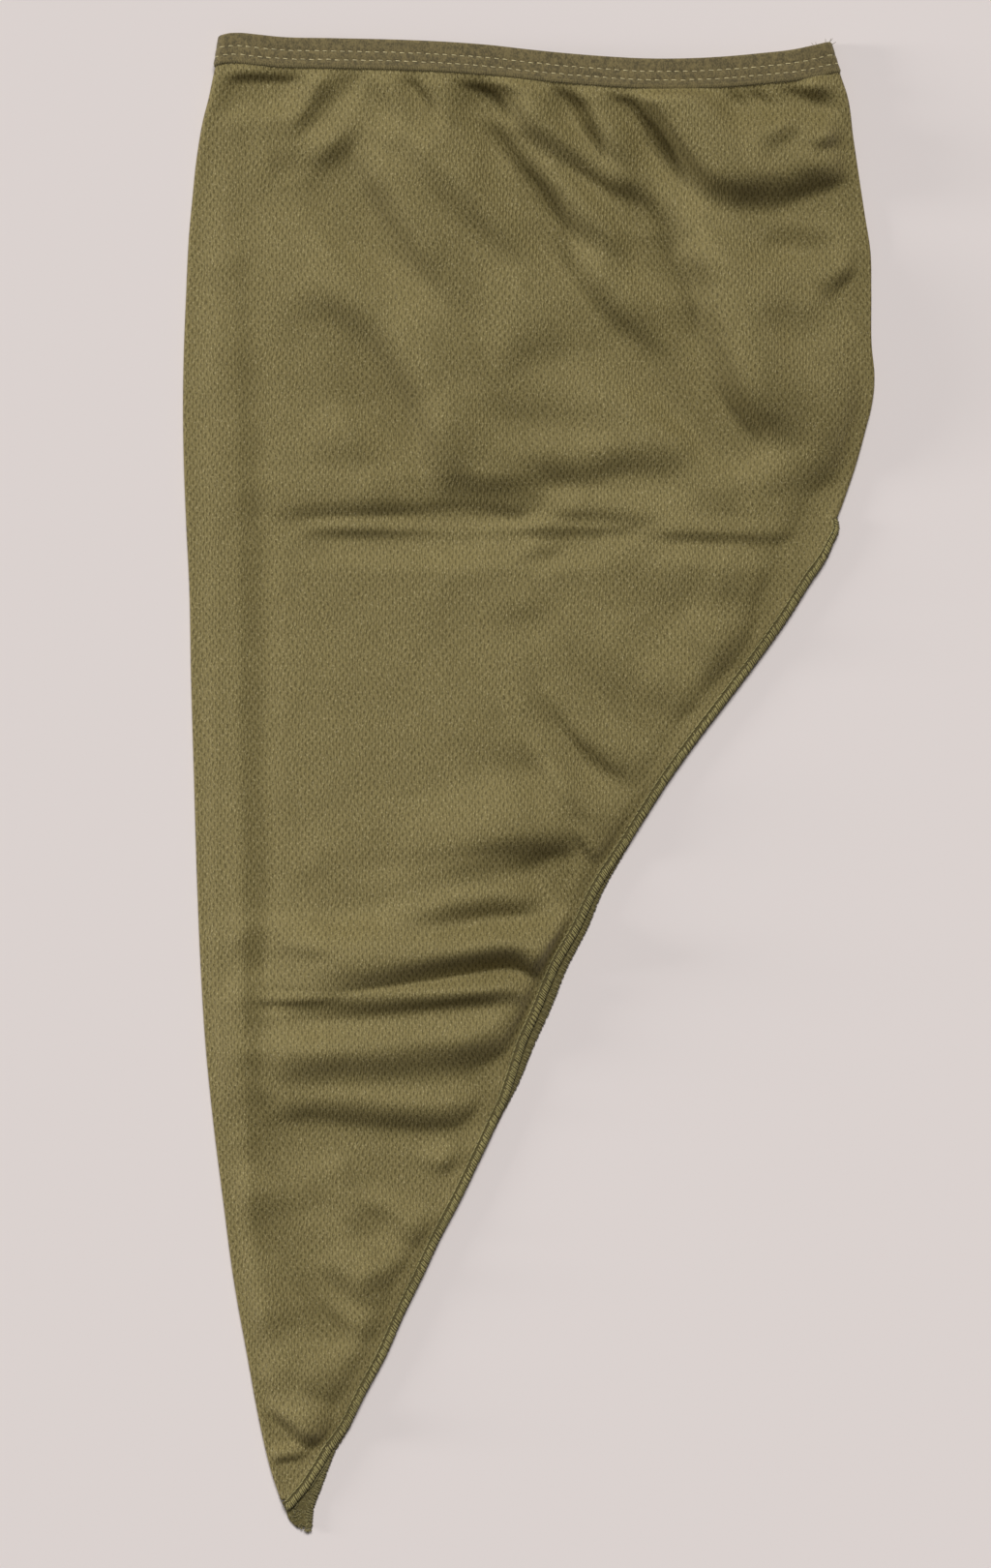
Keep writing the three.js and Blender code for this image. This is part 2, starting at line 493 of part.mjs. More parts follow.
const material = (name, color, roughness) => (
  new THREE.MeshStandardMaterial({ name, color, roughness, metalness: 0 })
);
const cloth = material('mesh_cloth', 0x7e714b, 0.72);
const bandCloth = material('band_cloth', 0x6d6041, 0.9);
const upperThread = material('upper_edge_thread', 0x85795a, 0.8);
const lowerThread = material('lower_edge_thread', 0x6f6446, 0.85);

const scarf = new THREE.Group();
scarf.name = 'mesh_tube_scarf';
scarf.add(meshOf('panel', thicken(clothSurface(), CLOTH_THICKNESS), cloth));
scarf.add(meshOf('top_band', bandSolid(), bandCloth));
scarf.add(meshOf('hem_front', hemSolid(hemPath(upperRightEdge, RIM_HEIGHT, [-254])), upperThread));
scarf.add(meshOf(
  'hem_back', hemSolid(hemPath(lowerRightEdge, LOWER_RIM_HEIGHT, [-257, -263.2])), lowerThread,
));

export default scarf;
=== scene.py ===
"""A tube scarf of olive mesh cloth with a pointed drop, lying flat, seen from straight above.

Sizes are in millimetres until a mesh is made. X runs across the scarf, +Y points to its band, Z is up.
"""

import math

import bpy
import numpy as np
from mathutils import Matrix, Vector


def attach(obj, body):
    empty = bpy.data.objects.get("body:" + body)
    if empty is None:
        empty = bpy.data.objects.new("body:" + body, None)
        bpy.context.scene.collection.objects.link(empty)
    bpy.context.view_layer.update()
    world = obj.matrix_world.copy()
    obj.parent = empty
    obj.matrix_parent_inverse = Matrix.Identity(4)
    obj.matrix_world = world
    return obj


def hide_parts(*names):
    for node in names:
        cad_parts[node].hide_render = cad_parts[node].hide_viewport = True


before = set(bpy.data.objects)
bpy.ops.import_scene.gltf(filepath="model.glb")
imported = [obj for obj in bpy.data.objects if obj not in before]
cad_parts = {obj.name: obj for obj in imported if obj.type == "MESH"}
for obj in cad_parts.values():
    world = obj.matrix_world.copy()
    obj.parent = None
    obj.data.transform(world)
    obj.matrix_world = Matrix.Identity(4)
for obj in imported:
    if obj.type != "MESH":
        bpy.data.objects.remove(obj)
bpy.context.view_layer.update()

MM = 0.001

# Cloth
CLOTH_THICKNESS = 0.7
BAND_LEG = 0.5
SEWN_GAP = 0.1
FOLD_RADIUS = 0.8
BAND_FOLD_RADIUS = 1.7
RIM_HEIGHT = 1.95          # middle of the upper layer at the slanted edge
LOWER_RIM_HEIGHT = 0.62    # middle of the lower layer at the slanted edge
COLUMN_PITCH = 1.5
LOWER_COLUMN_PITCH = 14.0
SIDE_ROLL = 12.0
SIDE_RAMP = 60.0
UPPER_SIDE_RAMP = 105.0    # beside the band
ROLL_SHARE = 0.5
UPPER_ROLL_SHARE = 0.16    # beside the band
EDGE_ROLL = 9.0
EDGE_ROLL_SHARE = 0.36
BAND_SIDES_Y = 150.0       # above here the sides change to the values beside the band
BAND_SIDES_FADE = 60.0
RIM_FADE = 22.0            # length over which a side takes the height of the slanted edge
TIP_ZONE, TIP_FADE = 26.0, 24.0    # where the cloth flattens above its lower end
LAYER_GAP = 0.4            # least space between the layers under a hollow
HIGHEST_FOLD = 19.0

# Band
TOP_Y = 262.0              # distances below the top edge start here
BAND_HEIGHT = 10.5
BAND_ZONE = 13.0
BAND_FADE = 40.0
SAG_FADE = 60.0            # below the band, the cloth's rows straighten over this distance
BAND_FACE = CLOTH_THICKNESS / 2 + SEWN_GAP + BAND_LEG
BAND_START_X, BAND_END_X = -109.3, 106.6
LEFT_READING_X, RIGHT_READING_X = -109.0, 106.0    # where the Y of a row's two sides is read
FIRST_ROW = 2.0            # below the top edge
LAST_BAND_ROW = BAND_HEIGHT + 1.0
STITCH_ROWS = (4.6, 7.6)   # below the top edge
STITCH_PITCH = 3.0
STITCH_LENGTH = 1.5
STITCH_RADIUS = 0.2
FRINGE_PITCH = 0.55

# Section of the band: distances below the top edge, and around its fold also how far in from its face
BAND_FRONT = [
    10.5, 10.3, 9.9, 9.2, 8.6, 8.1, 7.8, 7.6, 7.4, 7.1, 6.6, 6.0, 5.5, 5.1, 4.8, 4.6, 4.4, 4.1, 3.6, 3.0,
    2.4, 1.8, 1.2, 0.7,
]
BAND_TURN = [(0.1, 0.4), (0.3, 0.14), (0.6, 0.02)]
BAND_BACK = [1.2, 4.1, 4.6, 5.1, 7.1, 7.6, 8.1, 9.6, 10.5]

# Loose thread ends at the band's right corner: x, y, direction in degrees, length
FRAYED_ENDS = [
    (98.6, 258, 100, 1.6), (100, 258.4, 75, 1.8), (101.2, 258.9, 110, 1.5), (104.2, 259.6, 80, 1.9),
    (105, 259.8, 40, 2.6), (105.4, 259.6, 60, 2.2), (105.8, 259.3, 20, 2.4), (108.6, 250.6, 10, 1.2),
    (108.6, 250.2, -20, 1.1),
]

# Overlocked edges
HEM_WIDTH = 3.4
HEM_INSET = 0.55           # the cloth stops this far inside the thread
SEAM_END_Y = 93.8
HEM_START_Y = 93.2
CLOTH_END_Y = -252.0
EDGE_STEP = 0.4            # between the points of an edge's path
TIP_THREAD_COUNT = 300
TIP_THREAD = [(-71.0, -239.3, 1.75), (-76.9, -248.0, 1.75)]

# Section of a sewn edge: depth in from the edge as a share of its width, height over the middle
EDGE_PROFILE = [
    (1, 0.4), (0.96, 0.5), (0.88, 0.52), (0.8, 0.42), (0.74, 0.38), (0.6, 0.37), (0.54, 0.44),
    (0.44, 0.6), (0.28, 0.68), (0.12, 0.52), (0.02, 0.25), (0, 0), (0.02, -0.28), (0.12, -0.5),
    (0.3, -0.55), (1, -0.55), (1, -0.4), (0.27, -0.38), (0.27, 0.35), (0.7, 0.355), (1, 0.37),
]

# One loop of overlock thread: depth in from the edge, height over the middle
FRONT_LOOP = [
    (2, 0.3), (1.6, 0.66), (1.1, 0.86), (0.6, 0.8), (0.15, 0.5), (-0.1, 0), (0.1, -0.4), (0.6, -0.55),
]
BACK_LOOP = [(2.2, 0.5), (1.5, 0.66), (0.8, 0.7), (0.2, 0.45), (-0.15, 0.0), (0.2, -0.35)]

# Mesh: the lattice of its slots, half the size of a slot, and the pitch of the columns of loops
HOLE_ACROSS, HOLE_ALONG = 2.35, 3.3
SLOT_HALF_WIDTH, SLOT_HALF_LENGTH = 0.3, 0.95
WALE = 1.175

# View
VIEW_CENTRE = (-11.7, -0.3)
VIEW_HEIGHT = 550.8
LENS, SENSOR = 150.0, 36.0
FOCUS_HEIGHT = 4.0         # the camera's distance is measured from here
FLOOR_REACH = 3000.0

# Top edge of the band: x, y
TOP_EDGE = [
    (-110.5, 260), (-109.3, 262), (-107, 263.1), (-102.5, 263.5), (-96, 262.9), (-89, 262.1),
    (-68.5, 261.4), (-48, 260.8), (-28, 259.8), (-14, 258.7), (0, 257.1), (13, 255.8), (27, 254.7),
    (40, 254), (54, 254), (67.5, 254.7), (81, 256), (95, 257.8), (101.5, 259.4), (106.6, 260.6),
]

# Left edge: y, x
LEFT_EDGE = [
    (-263.5, -77.5), (-262.3, -80.4), (-260.5, -83.6), (-258, -85.4), (-254, -86.6), (-242, -90.6),
    (-228, -94), (-201, -99.1), (-174, -103.9), (-146, -107.6), (-119, -111), (-92, -113.7),
    (-65, -115.4), (-31, -116.8), (3, -117.8), (37, -118.8), (71, -119.5), (91, -120.5), (119, -121.5),
    (139, -121.6), (173, -120.5), (193, -119.5), (207, -118.2), (221, -116.8), (234, -114.8),
    (241, -113.1), (248, -111.7), (254, -110.4), (262, -109.3),
]

# Right edge of whatever shows there: y, x
RIGHT_EDGE = [
    (-263.5, -76.3), (-255, -75.7), (-248.5, -73.3), (-242, -70.9), (-235, -68.2), (-228, -64.1),
    (-214.5, -57.3), (-201, -50.1), (-187, -44), (-174, -37.6), (-160, -31.1), (-146.5, -24),
    (-133, -17.5), (-119, -10.7), (-106, -3.9), (-92, 1.9), (-78.5, 8), (-65, 13.4), (-51, 20.6),
    (-38, 26), (-24, 33.8), (-10.5, 42), (3, 50.8), (16.7, 60.7), (30, 70.9), (44, 81.4), (57.5, 91),
    (71, 99.5), (78, 104.2), (84.7, 107.3), (89, 109.1), (93.8, 108.8), (98, 110.3), (112, 115.1),
    (125.5, 118.8), (132, 120.5), (139, 121.5), (144, 121.6), (153, 120.7), (173, 120.5), (187, 120.2),
    (200, 118.2), (214, 116.1), (227, 114.4), (241, 112.7), (251, 109.4), (260, 106.6),
]

# How far the lower layer shows beyond the upper layer's slanted edge: y, width
LOWER_LAYER_SHOWS = [
    (-263.5, 9.5), (-255, 7.6), (-248, 4.4), (-240, 2.2), (-232, 0.8), (-226, 0.2), (-126, 0.2),
    (-112, 0.8), (-106, 1.9), (-92, 3.2), (-75, 3.4), (-60, 3), (-45, 2.2), (-31, 1.2), (-20, 0.3),
    (94, 0.3),
]

# Middle of the upper layer in the open, away from its sides: y, z
UPPER_LAYER_HEIGHT = [
    (-263.5, RIM_HEIGHT), (-250, 3.6), (-235, 4.5), (-200, 5), (-150, 6.6), (-130, 7.4), (-100, 7.8),
    (-60, 9), (-30, 9), (20, 7.9), (60, 6.1), (110, 6), (150, 7.6), (200, 9.5), (228, 9.9), (240, 9.9),
    (263.5, 9.8),
]

# Rows of the cloth: pitch above this y
ROW_PITCHES = [
    (-215, 1.25), (-130, 1.5), (-124, 1.1), (-88, 1.05), (-84, 0.8), (-56, 0.8), (-52, 1.1), (-14, 1.1),
    (-8, 1.7), (80, 1.7), (84, 0.9), (112, 0.9), (118, 1.5), (236, 1.4), (244, 1.1), (251.5, 0.9),
    (253, 3.5), (264, 3.5),
]

FOLD_TAIL = 3.0            # widths over which a fold runs out beyond its ridge or hollow

# Slight unevenness of the cloth: wave length, direction in radians, height
WAVES = [(61, 0.4, 0.14), (37, 2.1, 0.098), (23, 1.2, 0.07), (17, 2.7, 0.042)]

# Folds of the upper layer: width of the ridge on the left hand of the path, width of the hollow on its
# right hand, and the path as x, y and the rise from the middle to the ridge, left out where it is 0
FOLDS = {
    # Under the band
    "band_left": (3.5, 5, [
        (-112, 248, 0.4), (-102, 249, 2.8), (-92, 249.5, 3.2), (-82, 250.5, 2), (-74, 252)]),
    "band_left_gather": (4, 4, [(-84, 225), (-79, 232, 1.9), (-74, 239, 2.4), (-70, 247, 0.8)]),
    "band_gather_a": (3.5, 4, [(-58, 250, 0.4), (-52, 244, 1.8), (-47, 237, 1.9), (-43, 229)]),
    "band_gather_b": (3.5, 4, [(-44, 251, 0.6), (-38, 245, 2.2), (-32, 238, 2.2), (-27, 229)]),
    "band_patch": (4, 4.5, [
        (-28, 250), (-19, 248, 1.6), (-12, 246.5, 4.4), (-5, 245, 5.2), (2, 243.5, 2), (7, 242.5)]),
    "band_patch_right": (3.5, 4, [(22, 246, 0.4), (30, 243.5, 1.8), (38, 241.5, 1.8), (44, 240)]),
    "band_gather_e": (3, 3, [(70, 245, 0.8), (75, 239, 2), (80, 232)]),
    "band_gather_f": (3, 3, [(78, 247, 0.8), (83, 241, 2.2), (90, 235)]),
    "band_right": (4.5, 5, [
        (86, 250, 1), (93, 246, 3.2), (100, 243, 4.2), (107, 241, 3.6), (115, 239, 0.6)]),
    "right_nick": (3.5, 3.5, [(98, 222), (106, 225, 3.6), (115, 227, 1)]),
    "lobe_dimple": (4.5, 5, [(78, 219), (86, 225, 2.8), (93, 230, 3), (102, 237)]),

    # Strokes that run down to the right from the band
    "swoop": (8.5, 7.5, [
        (29, 249, 1.5), (36, 241, 6.1), (42, 233.5, 8.1), (47.5, 226, 8.6), (53, 219, 8.8), (59, 213, 8.4),
        (66, 209, 8.1), (75, 207, 8.1), (86, 207.5, 8.1), (98, 210, 7.9), (106, 211.5, 7.1),
        (112, 213, 5.4), (120, 215, 1)]),
    "swoop_stroke": (5, 5, [
        (38, 245), (44, 238, 3), (50, 230.5, 5), (55.5, 223, 5.8), (60.5, 216, 5), (66, 210.5, 2),
        (72, 207)]),
    "gather_short": (5.5, 5.5, [(10, 246), (16, 239, 3.6), (22, 230.5, 6), (28.5, 221.5, 5.6), (36, 212)]),
    "gather_diagonal": (5, 5.5, [
        (-20, 251), (-13, 245, 4), (-6, 238, 6.4), (0, 230.5, 6.4), (9, 223, 5.6), (20, 216, 5.8),
        (30, 210, 5), (38.5, 205, 2.2), (46, 202)]),
    "gather_inner": (6, 6.5, [
        (-24, 243), (-17, 236, 2.8), (-11, 229, 5), (-3.5, 219, 6.4), (6, 208.5, 7.4), (15, 199.5, 7.2),
        (24, 191, 4.6), (32, 183, 1.6), (39, 176)]),
    "shoulder": (12, 11, [
        (34, 215), (42, 206, 5.2), (50.5, 194, 8.2), (58, 180, 8.8), (65, 166, 8.2), (72, 153, 7),
        (80, 141, 3.8), (89, 131)]),
    "shoulder_low": (8, 8, [
        (54, 172), (60, 161, 4.2), (66, 150, 7), (72, 140, 7), (79, 130, 3.4), (86, 123)]),
    "shoulder_light": (14, 12, [(116, 158), (103, 153, 0.9), (92, 154, 1.1), (83, 159, 0.8), (75, 166)]),
    "long_diagonal": (5.5, 6.5, [
        (2, 200), (10, 191, 3), (18, 181, 4.4), (27, 170, 4.4), (37, 158.5, 4.2), (49, 148, 3.6),
        (62, 138.5, 3), (76, 129.5, 2.4), (89, 122, 1.2), (98, 117)]),
    "diagonal_end": (9, 8, [(52, 147), (63, 138, 3), (75, 129, 4.4), (86, 122, 2.2), (95, 117)]),
    "left_diagonal": (6.5, 7, [
        (-48, 229), (-38.5, 219, 2.8), (-28, 208, 3.8), (-18, 197.5, 3.2), (-7, 187, 1.2), (3, 178)]),
    "far_left_diagonal": (8, 8, [
        (-66, 225), (-58, 214, 4.8), (-50, 201, 7.2), (-42, 188, 6), (-34, 176, 3), (-26, 164)]),
    "left_dimple": (5, 5, [(-80, 215), (-72, 219, 1.4), (-64, 225, 1.6), (-54, 230)]),
    "lower_left_diagonal": (8, 7, [
        (-86, 171), (-74, 168, 1.8), (-60, 162, 3), (-50.5, 151, 4.4), (-43.5, 138, 5.8), (-38, 126, 6.6),
        (-33, 114, 3.8), (-28, 104)]),
    "middle_hollow": (10, 10, [(-16, 148), (-2, 153, 1.8), (11, 156, 2.6), (22, 154, 1.8), (32, 150)]),
    "left_light": (10, 10, [(-48, 128), (-58, 127, 1.4), (-70, 126, 1.4), (-82, 126)]),
    "middle_slope": (10, 10, [(-40, 124), (-20, 127, 1.8), (0, 130, 2.6), (20, 130, 2.6), (44, 126)]),
    "under_swoop": (6, 7, [
        (66, 191), (78, 192, 1.8), (90, 192, 3), (102, 191, 2.8), (114, 192, 0.8), (120, 194)]),
    "right_edge_upper": (5, 6, [(98, 170), (105, 173, 2.2), (112, 177, 3.4), (119, 181)]),

    # Pressed fold across the middle
    "crease_blob": (8, 8, [
        (-56, 107), (-42, 107, 1.6), (-26, 105.5, 4.2), (-12, 104, 5), (0, 102, 2.6), (9, 101)]),
    "crease_left": (5, 3, [
        (-92, 93), (-80, 94.5, 1.2), (-55, 95.5, 2), (-38, 95.5, 2.6), (-20, 95.5, 3.2), (-6, 94.5, 3),
        (3, 93)]),
    "crease_right": (9, 6, [
        (-14, 109), (-4, 108.5, 1.8), (6, 108.5, 3.2), (20, 109.5, 3.7), (34, 112, 3.7), (46, 111, 2.8),
        (58, 109)]),
    "crease_right_low": (3, 3, [(4, 94), (18, 94, 1), (34, 93, 1), (52, 92)]),
    "pressed_line_left": (1.6, 4, [
        (-82, 88), (-66, 88.5, 0.9), (-40, 88, 0.9), (-20, 88, 0.7), (0, 88.5, 0.7), (20, 88.5, 0.7),
        (36, 89.5, 0.3), (42, 90)]),
    "pressed_line_right": (2.2, 3.2, [(40, 87), (52, 87, 0.8), (68, 86.5, 0.9), (86, 86, 0.6), (98, 87)]),
    "pressed_dimple": (2.5, 2.5, [(-6, 79), (4, 80, 0.8), (14, 82)]),

    # Body
    "mid_stroke": (4, 6, [
        (-36, 86), (-24, 67, 0.6), (-15, 50, 0.8), (-8, 33, 0.8), (0, 15, 1), (8, -2, 0.8), (12, -10)]),
    "mid_patch": (6, 5, [(-16, 61), (-2, 59, 1), (12, 61)]),
    "small_patch": (4, 4, [(-24, 20), (-17, 12, 0.8), (-10, 4, 0.4), (-4, -4)]),
    "right_patch": (10, 10, [(32, 86), (44, 70, 3), (53, 56, 4), (61, 44, 3.4), (68, 33)]),
    "right_patch_low": (12, 10, [(14, 54), (27, 42, 3), (40, 32, 4.4), (51, 28, 3), (60, 28)]),
    "right_slope": (14, 14, [(54, 98), (68, 98, 2.8), (84, 98, 3.8), (97, 101, 2.4), (107, 106)]),
    "right_low_slope": (14, 12, [(40, 73), (54, 69, 3), (68, 67, 4), (80, 69, 2.4), (90, 75)]),
    "hem_diagonal": (5, 4.5, [
        (2, 33), (10, 25, 1.8), (19, 14, 2.8), (28.5, 6, 2.8), (36, 1.5, 1), (43, -2)]),
    "hem_diagonal_low": (4, 4, [(-2, 16), (3, 8, 1.4), (8, -1, 2), (12, -9, 1.2), (17, -16)]),
    "hem_roll": (7, 6, [
        (38, 0), (52, 18, 1.4), (66, 38, 2), (78, 56, 2.5), (87, 74, 2.5), (95, 90, 2.1), (103, 108, 1.5),
        (108, 128, 1.2), (111, 150, 1), (112, 172, 0.8), (112, 190)]),
    "fold_memory": (4, 4, [
        (-94, -178), (-97, -130, 1.2), (-98, -100, 1.1), (-98, -70, 1.6), (-98, -40, 1.4), (-99, 10, 1.3),
        (-99, 70, 1.1), (-100, 130, 0.8), (-102, 190, 0.4), (-103, 230)]),
    "fold_memory_outer": (3, 3, [
        (-103, -168), (-106, -120, 1), (-109, -60, 1.4), (-109, 0, 1), (-109, 70, 0.4), (-109, 130)]),

    # Packing folds above the tail
    "low_fold_1": (8, 9, [
        (-50, -31.5), (-40, -30.5, 1.8), (-24, -28.5, 4), (-6, -25.5, 5.6), (5, -23.5, 5.6),
        (12, -23, 3.8), (18, -26.5, 0.6), (23, -31)]),
    "low_pinch": (1.4, 1.2, [(14, -15), (18, -20, 0.7), (22, -26, 0.8), (26, -32)]),
    "hem_streak": (2, 3, [(18, -30), (14, -38, 0.6), (10, -49, 0.7), (5, -60)]),
    "low_fold_2": (6.5, 6, [
        (-60, -51), (-42, -49, 3.4), (-26, -46, 6.9), (-12, -44, 8), (-2, -43.5, 7.1), (7, -40.5, 1.4),
        (14, -36.5)]),
    "low_fold_3": (8, 2.4, [
        (-96, -70), (-84, -71.5, 3.4), (-72, -72, 6), (-60, -71, 8), (-44, -69, 9.4), (-27, -66.5, 10),
        (-12, -64, 10), (-4, -64, 9.4), (3, -67, 8.4), (8, -70, 6.2), (13, -73.5, 1)]),
    "low_fold_3_upper": (5, 4, [
        (-90, -63), (-78, -66, 1.6), (-60, -66, 2.8), (-40, -64, 3.4), (-20, -61, 3.6), (-8, -59.5, 3),
        (0, -61, 1.4), (6, -65)]),
    "low_crease": (3.5, 5, [
        (-96, -77), (-86, -76.5, 1), (-70, -76.5, 2.5), (-50, -76, 3), (-34, -75, 3), (-18, -74, 2.5),
        (-6, -74.5, 1.4), (2, -79)]),
    "low_crease_under": (4, 5, [
        (-90, -79), (-78, -79.5, 1.6), (-62, -79.5, 1.8), (-46, -78.5, 1.4), (-34, -77.5, 1.3),
        (-18, -76.5, 1), (-6, -79)]),
    "low_line": (4, 4, [(-90, -57), (-82, -59, 1.3), (-74, -60, 1.8), (-62, -61)]),
    "low_crease_end": (1.2, 1.5, [(-100, -77), (-90, -77, 0.5), (-76, -76.5, 0.5), (-64, -75)]),
    "low_fold_4": (12, 10, [
        (-93, -105), (-86, -102.5, 3.4), (-78, -100.5, 6.2), (-64, -98.5, 7.8), (-42, -98, 8),
        (-24, -96, 7.6), (-12, -92.5, 6.6), (-4, -91, 3.6), (1, -95)]),
    "low_fold_5": (9, 7.5, [
        (-93, -115.5), (-86, -116, 3.2), (-76, -117, 5.4), (-60, -118.5, 7), (-46, -119.5, 8),
        (-32, -120, 8.6), (-21, -118, 7.6), (-13, -113.5, 3.2), (-8, -109)]),

    # Tail
    "tail_fold_1": (8, 7, [
        (-66, -129), (-53, -132, 3), (-41, -135.5, 5.2), (-30, -139.5, 5), (-21, -144)]),
    "tail_fold_1b": (4, 4, [(-34, -137), (-26, -133, 1.2), (-18, -129)]),
    "tail_fold_2": (5, 5, [
        (-59, -146), (-51, -151, 2.4), (-44, -157, 2.6), (-37, -164, 1.2), (-32, -169)]),
    "tail_fold_3": (5, 5, [(-62, -178), (-53, -174.5, 1.6), (-44, -170.5, 1.6), (-37, -166)]),
    "tail_fold_4": (5, 5, [(-77, -168), (-68, -173.5, 2.6), (-60, -180, 2.8), (-53, -186)]),
    "tail_fold_5": (5, 5, [(-80, -182), (-71, -187.5, 2.4), (-63, -192.5, 2.2), (-56, -197)]),
    "left_pad_high": (8, 8, [(-108, -126), (-98, -129, 1.4), (-88, -131, 1.4), (-78, -132)]),
    "left_pad": (9, 9, [(-108, -147), (-98, -150, 1.8), (-88, -152, 1.8), (-78, -153)]),
    "tail_memory": (8, 9, [
        (-80, -214), (-86, -195, 1.6), (-90, -172, 2.2), (-93, -148, 2), (-96, -124, 1), (-97, -108)]),
    "left_pad_low": (9, 8, [(-102, -189), (-92, -192, 2), (-82, -196)]),
    "tail_pad": (9, 8, [(-98, -207), (-90, -211.5, 3.8), (-82, -216, 4.2), (-74, -220.5)]),
    "tail_hem_roll": (5, 3.5, [
        (-84, -246), (-78, -235, 1), (-68, -217, 1.4), (-58, -198.5, 1), (-49, -181, 0.6),
        (-39, -163, 0.5), (-30, -146, 0.8), (-21, -130, 1), (-13, -114)]),
    "tip_fold_1": (4.5, 3.2, [
        (-98, -218), (-91, -223, 5.8), (-84, -227.5, 6.5), (-77, -231.5, 4.2), (-71, -234.5)]),
    "tip_fold_2": (4, 3, [
        (-97, -239.5), (-91, -239, 3.4), (-84, -238.5, 5.1), (-78, -238.5, 3.9), (-73, -238)]),
}

random = np.random.default_rng(7)


def ease(t):
    """Smooth step from 0 to 1."""
    s = np.clip(t, 0.0, 1.0)
    return s * s * (3 - 2 * s)


def mix(a, b, t):
    return a + (b - a) * t


def smooth_table(rows):
    """A smooth curve through rows of (place, value)."""
    p = np.array(rows, float)
    slope = np.gradient(p[:, 1], p[:, 0])

    def at(v):
        v = np.clip(v, p[0, 0], p[-1, 0])
        i = np.clip(np.searchsorted(p[:, 0], v) - 1, 0, len(p) - 2)
        span = p[i + 1, 0] - p[i, 0]
        t = (v - p[i, 0]) / span
        rise = p[i + 1, 1] - p[i, 1]
        a, b = slope[i] * span - rise, rise - slope[i + 1] * span
        return p[i, 1] + rise * t + t * (1 - t) * (a * (1 - t) + b * t)

    return at


def straight_table(rows):
    """Straight lines through rows of (place, value)."""
    p = np.array(rows, float)
    return lambda v: np.interp(v, p[:, 0], p[:, 1])


top_edge = smooth_table(TOP_EDGE)
left_edge = smooth_table(LEFT_EDGE)
lower_right_edge = smooth_table(RIGHT_EDGE)
lower_layer_shows = straight_table(LOWER_LAYER_SHOWS)
upper_layer_height = smooth_table(UPPER_LAYER_HEIGHT)
row_pitch = straight_table(ROW_PITCHES)


def upper_right_edge(y):
    """X of the upper layer's slanted edge."""
    return lower_right_edge(y) - lower_layer_shows(y)


def band_top(x):
    """Y of the band's top edge, held beyond its ends."""
    return top_edge(np.clip(x, BAND_START_X, BAND_END_X))


def edge_slope(edge, y):
    """Length along a slanted edge for each unit of Y."""
    return np.hypot(1, (edge(y + 5) - edge(y - 5)) / 10)


# Folds


def curve_through(path, per):
    """Points of a smooth curve through a path, per of them for each of its steps."""
    p = np.array(path, float)
    q = np.vstack([2 * p[0] - p[1], p, 2 * p[-1] - p[-2]])
    t = np.linspace(0, 1, per, endpoint=False)[:, None]
    out = []
    for a, b, c, d in zip(q, q[1:], q[2:], q[3:]):
        out.append(0.5 * (2 * b + (c - a) * t + (2 * a - 5 * b + 4 * c - d) * t ** 2
                          + (3 * b - a - 3 * c + d) * t ** 3))
    return np.vstack([*out, p[-1:]])


def fold_profile(s):
    """Height of a fold s widths from its path: it peaks at 1 and runs out slowly."""
    near = math.sqrt(math.e) * s * np.exp(-s * s / 2)
    far = 0.5 + 0.5 * np.cos(math.pi * np.clip((s - 1) / FOLD_TAIL, 0, 1))
    return np.where(s < 1, near, far)


def fold_height(x, y, lit, shade, path):
    """Height of one fold: a ridge on the left hand of its path and a hollow on the right."""
    line = curve_through([(*point, 0)[:3] for point in path], per=6)
    along = np.gradient(line[:, :2], axis=0)
    along /= np.linalg.norm(along, axis=1, keepdims=True)
    margin = (1 + FOLD_TAIL) * max(lit, shade)
    near = ((x > line[:, 0].min() - margin) & (x < line[:, 0].max() + margin)
            & (y > line[:, 1].min() - margin) & (y < line[:, 1].max() + margin))
    px, py = x[near], y[near]
    total, across, rise = np.zeros((3, len(px)))
    nearest = np.full_like(px, np.inf)
    for (cx, cy, height), (tx, ty) in zip(line, along):
        dx, dy = px - cx, py - cy
        square = dx * dx + dy * dy
        nearest = np.minimum(nearest, square)
        weight = 1 / (square + 1.0) ** 3
        total += weight
        across += weight * (tx * dy - ty * dx)
        rise += weight * height
    across /= total
    width = np.where(across > 0, lit, shade)
    height = np.sign(across) * rise / total * width / lit * fold_profile(np.abs(across) / width)
    out = np.zeros_like(x)
    out[near] = height * (1 - ease(2.5 * np.sqrt(nearest) / margin - 1.5))
    return out


def undulation(x, y):
    """Slight unevenness of relaxed cloth."""
    total = np.zeros_like(x)
    for i, (length, turn, size) in enumerate(WAVES):
        along = x * math.cos(turn) + y * math.sin(turn)
        across = y * math.cos(turn) - x * math.sin(turn)
        total += size * np.sin(2 * math.pi * along / length + 1.7 * i + 1.5 * np.sin(across / length * 2.3))
    return total


def held_between(height, room, headroom):
    """Height of the folds, with hollows that stop where the layers touch and ridges of a limited height."""
    limit = np.where(height > 0, headroom, room)
    return height / (1 + (np.abs(height) / limit) ** 4) ** 0.25


# Cross sections of the tube


def band_share(below):
    """How much of the band's shape the cloth has, this far below the top edge."""
    return 1 - ease((below - BAND_ZONE) / BAND_FADE)


def rim_share(y):
    """How much of the slanted edge's height the cloth's right side has."""
    return ease((SEAM_END_Y + RIM_FADE - y) / RIM_FADE)


def tip_share(y):
    """How much of that height the whole row has, near the tip."""
    return ease((CLOTH_END_Y + TIP_ZONE - y) / TIP_FADE)


def side_rise(away, roll_share, ramp):
    """Share of the height that the cloth has gained this far from its folded side."""
    return roll_share * ease(away / SIDE_ROLL) + (1 - roll_share) * ease(away / ramp)


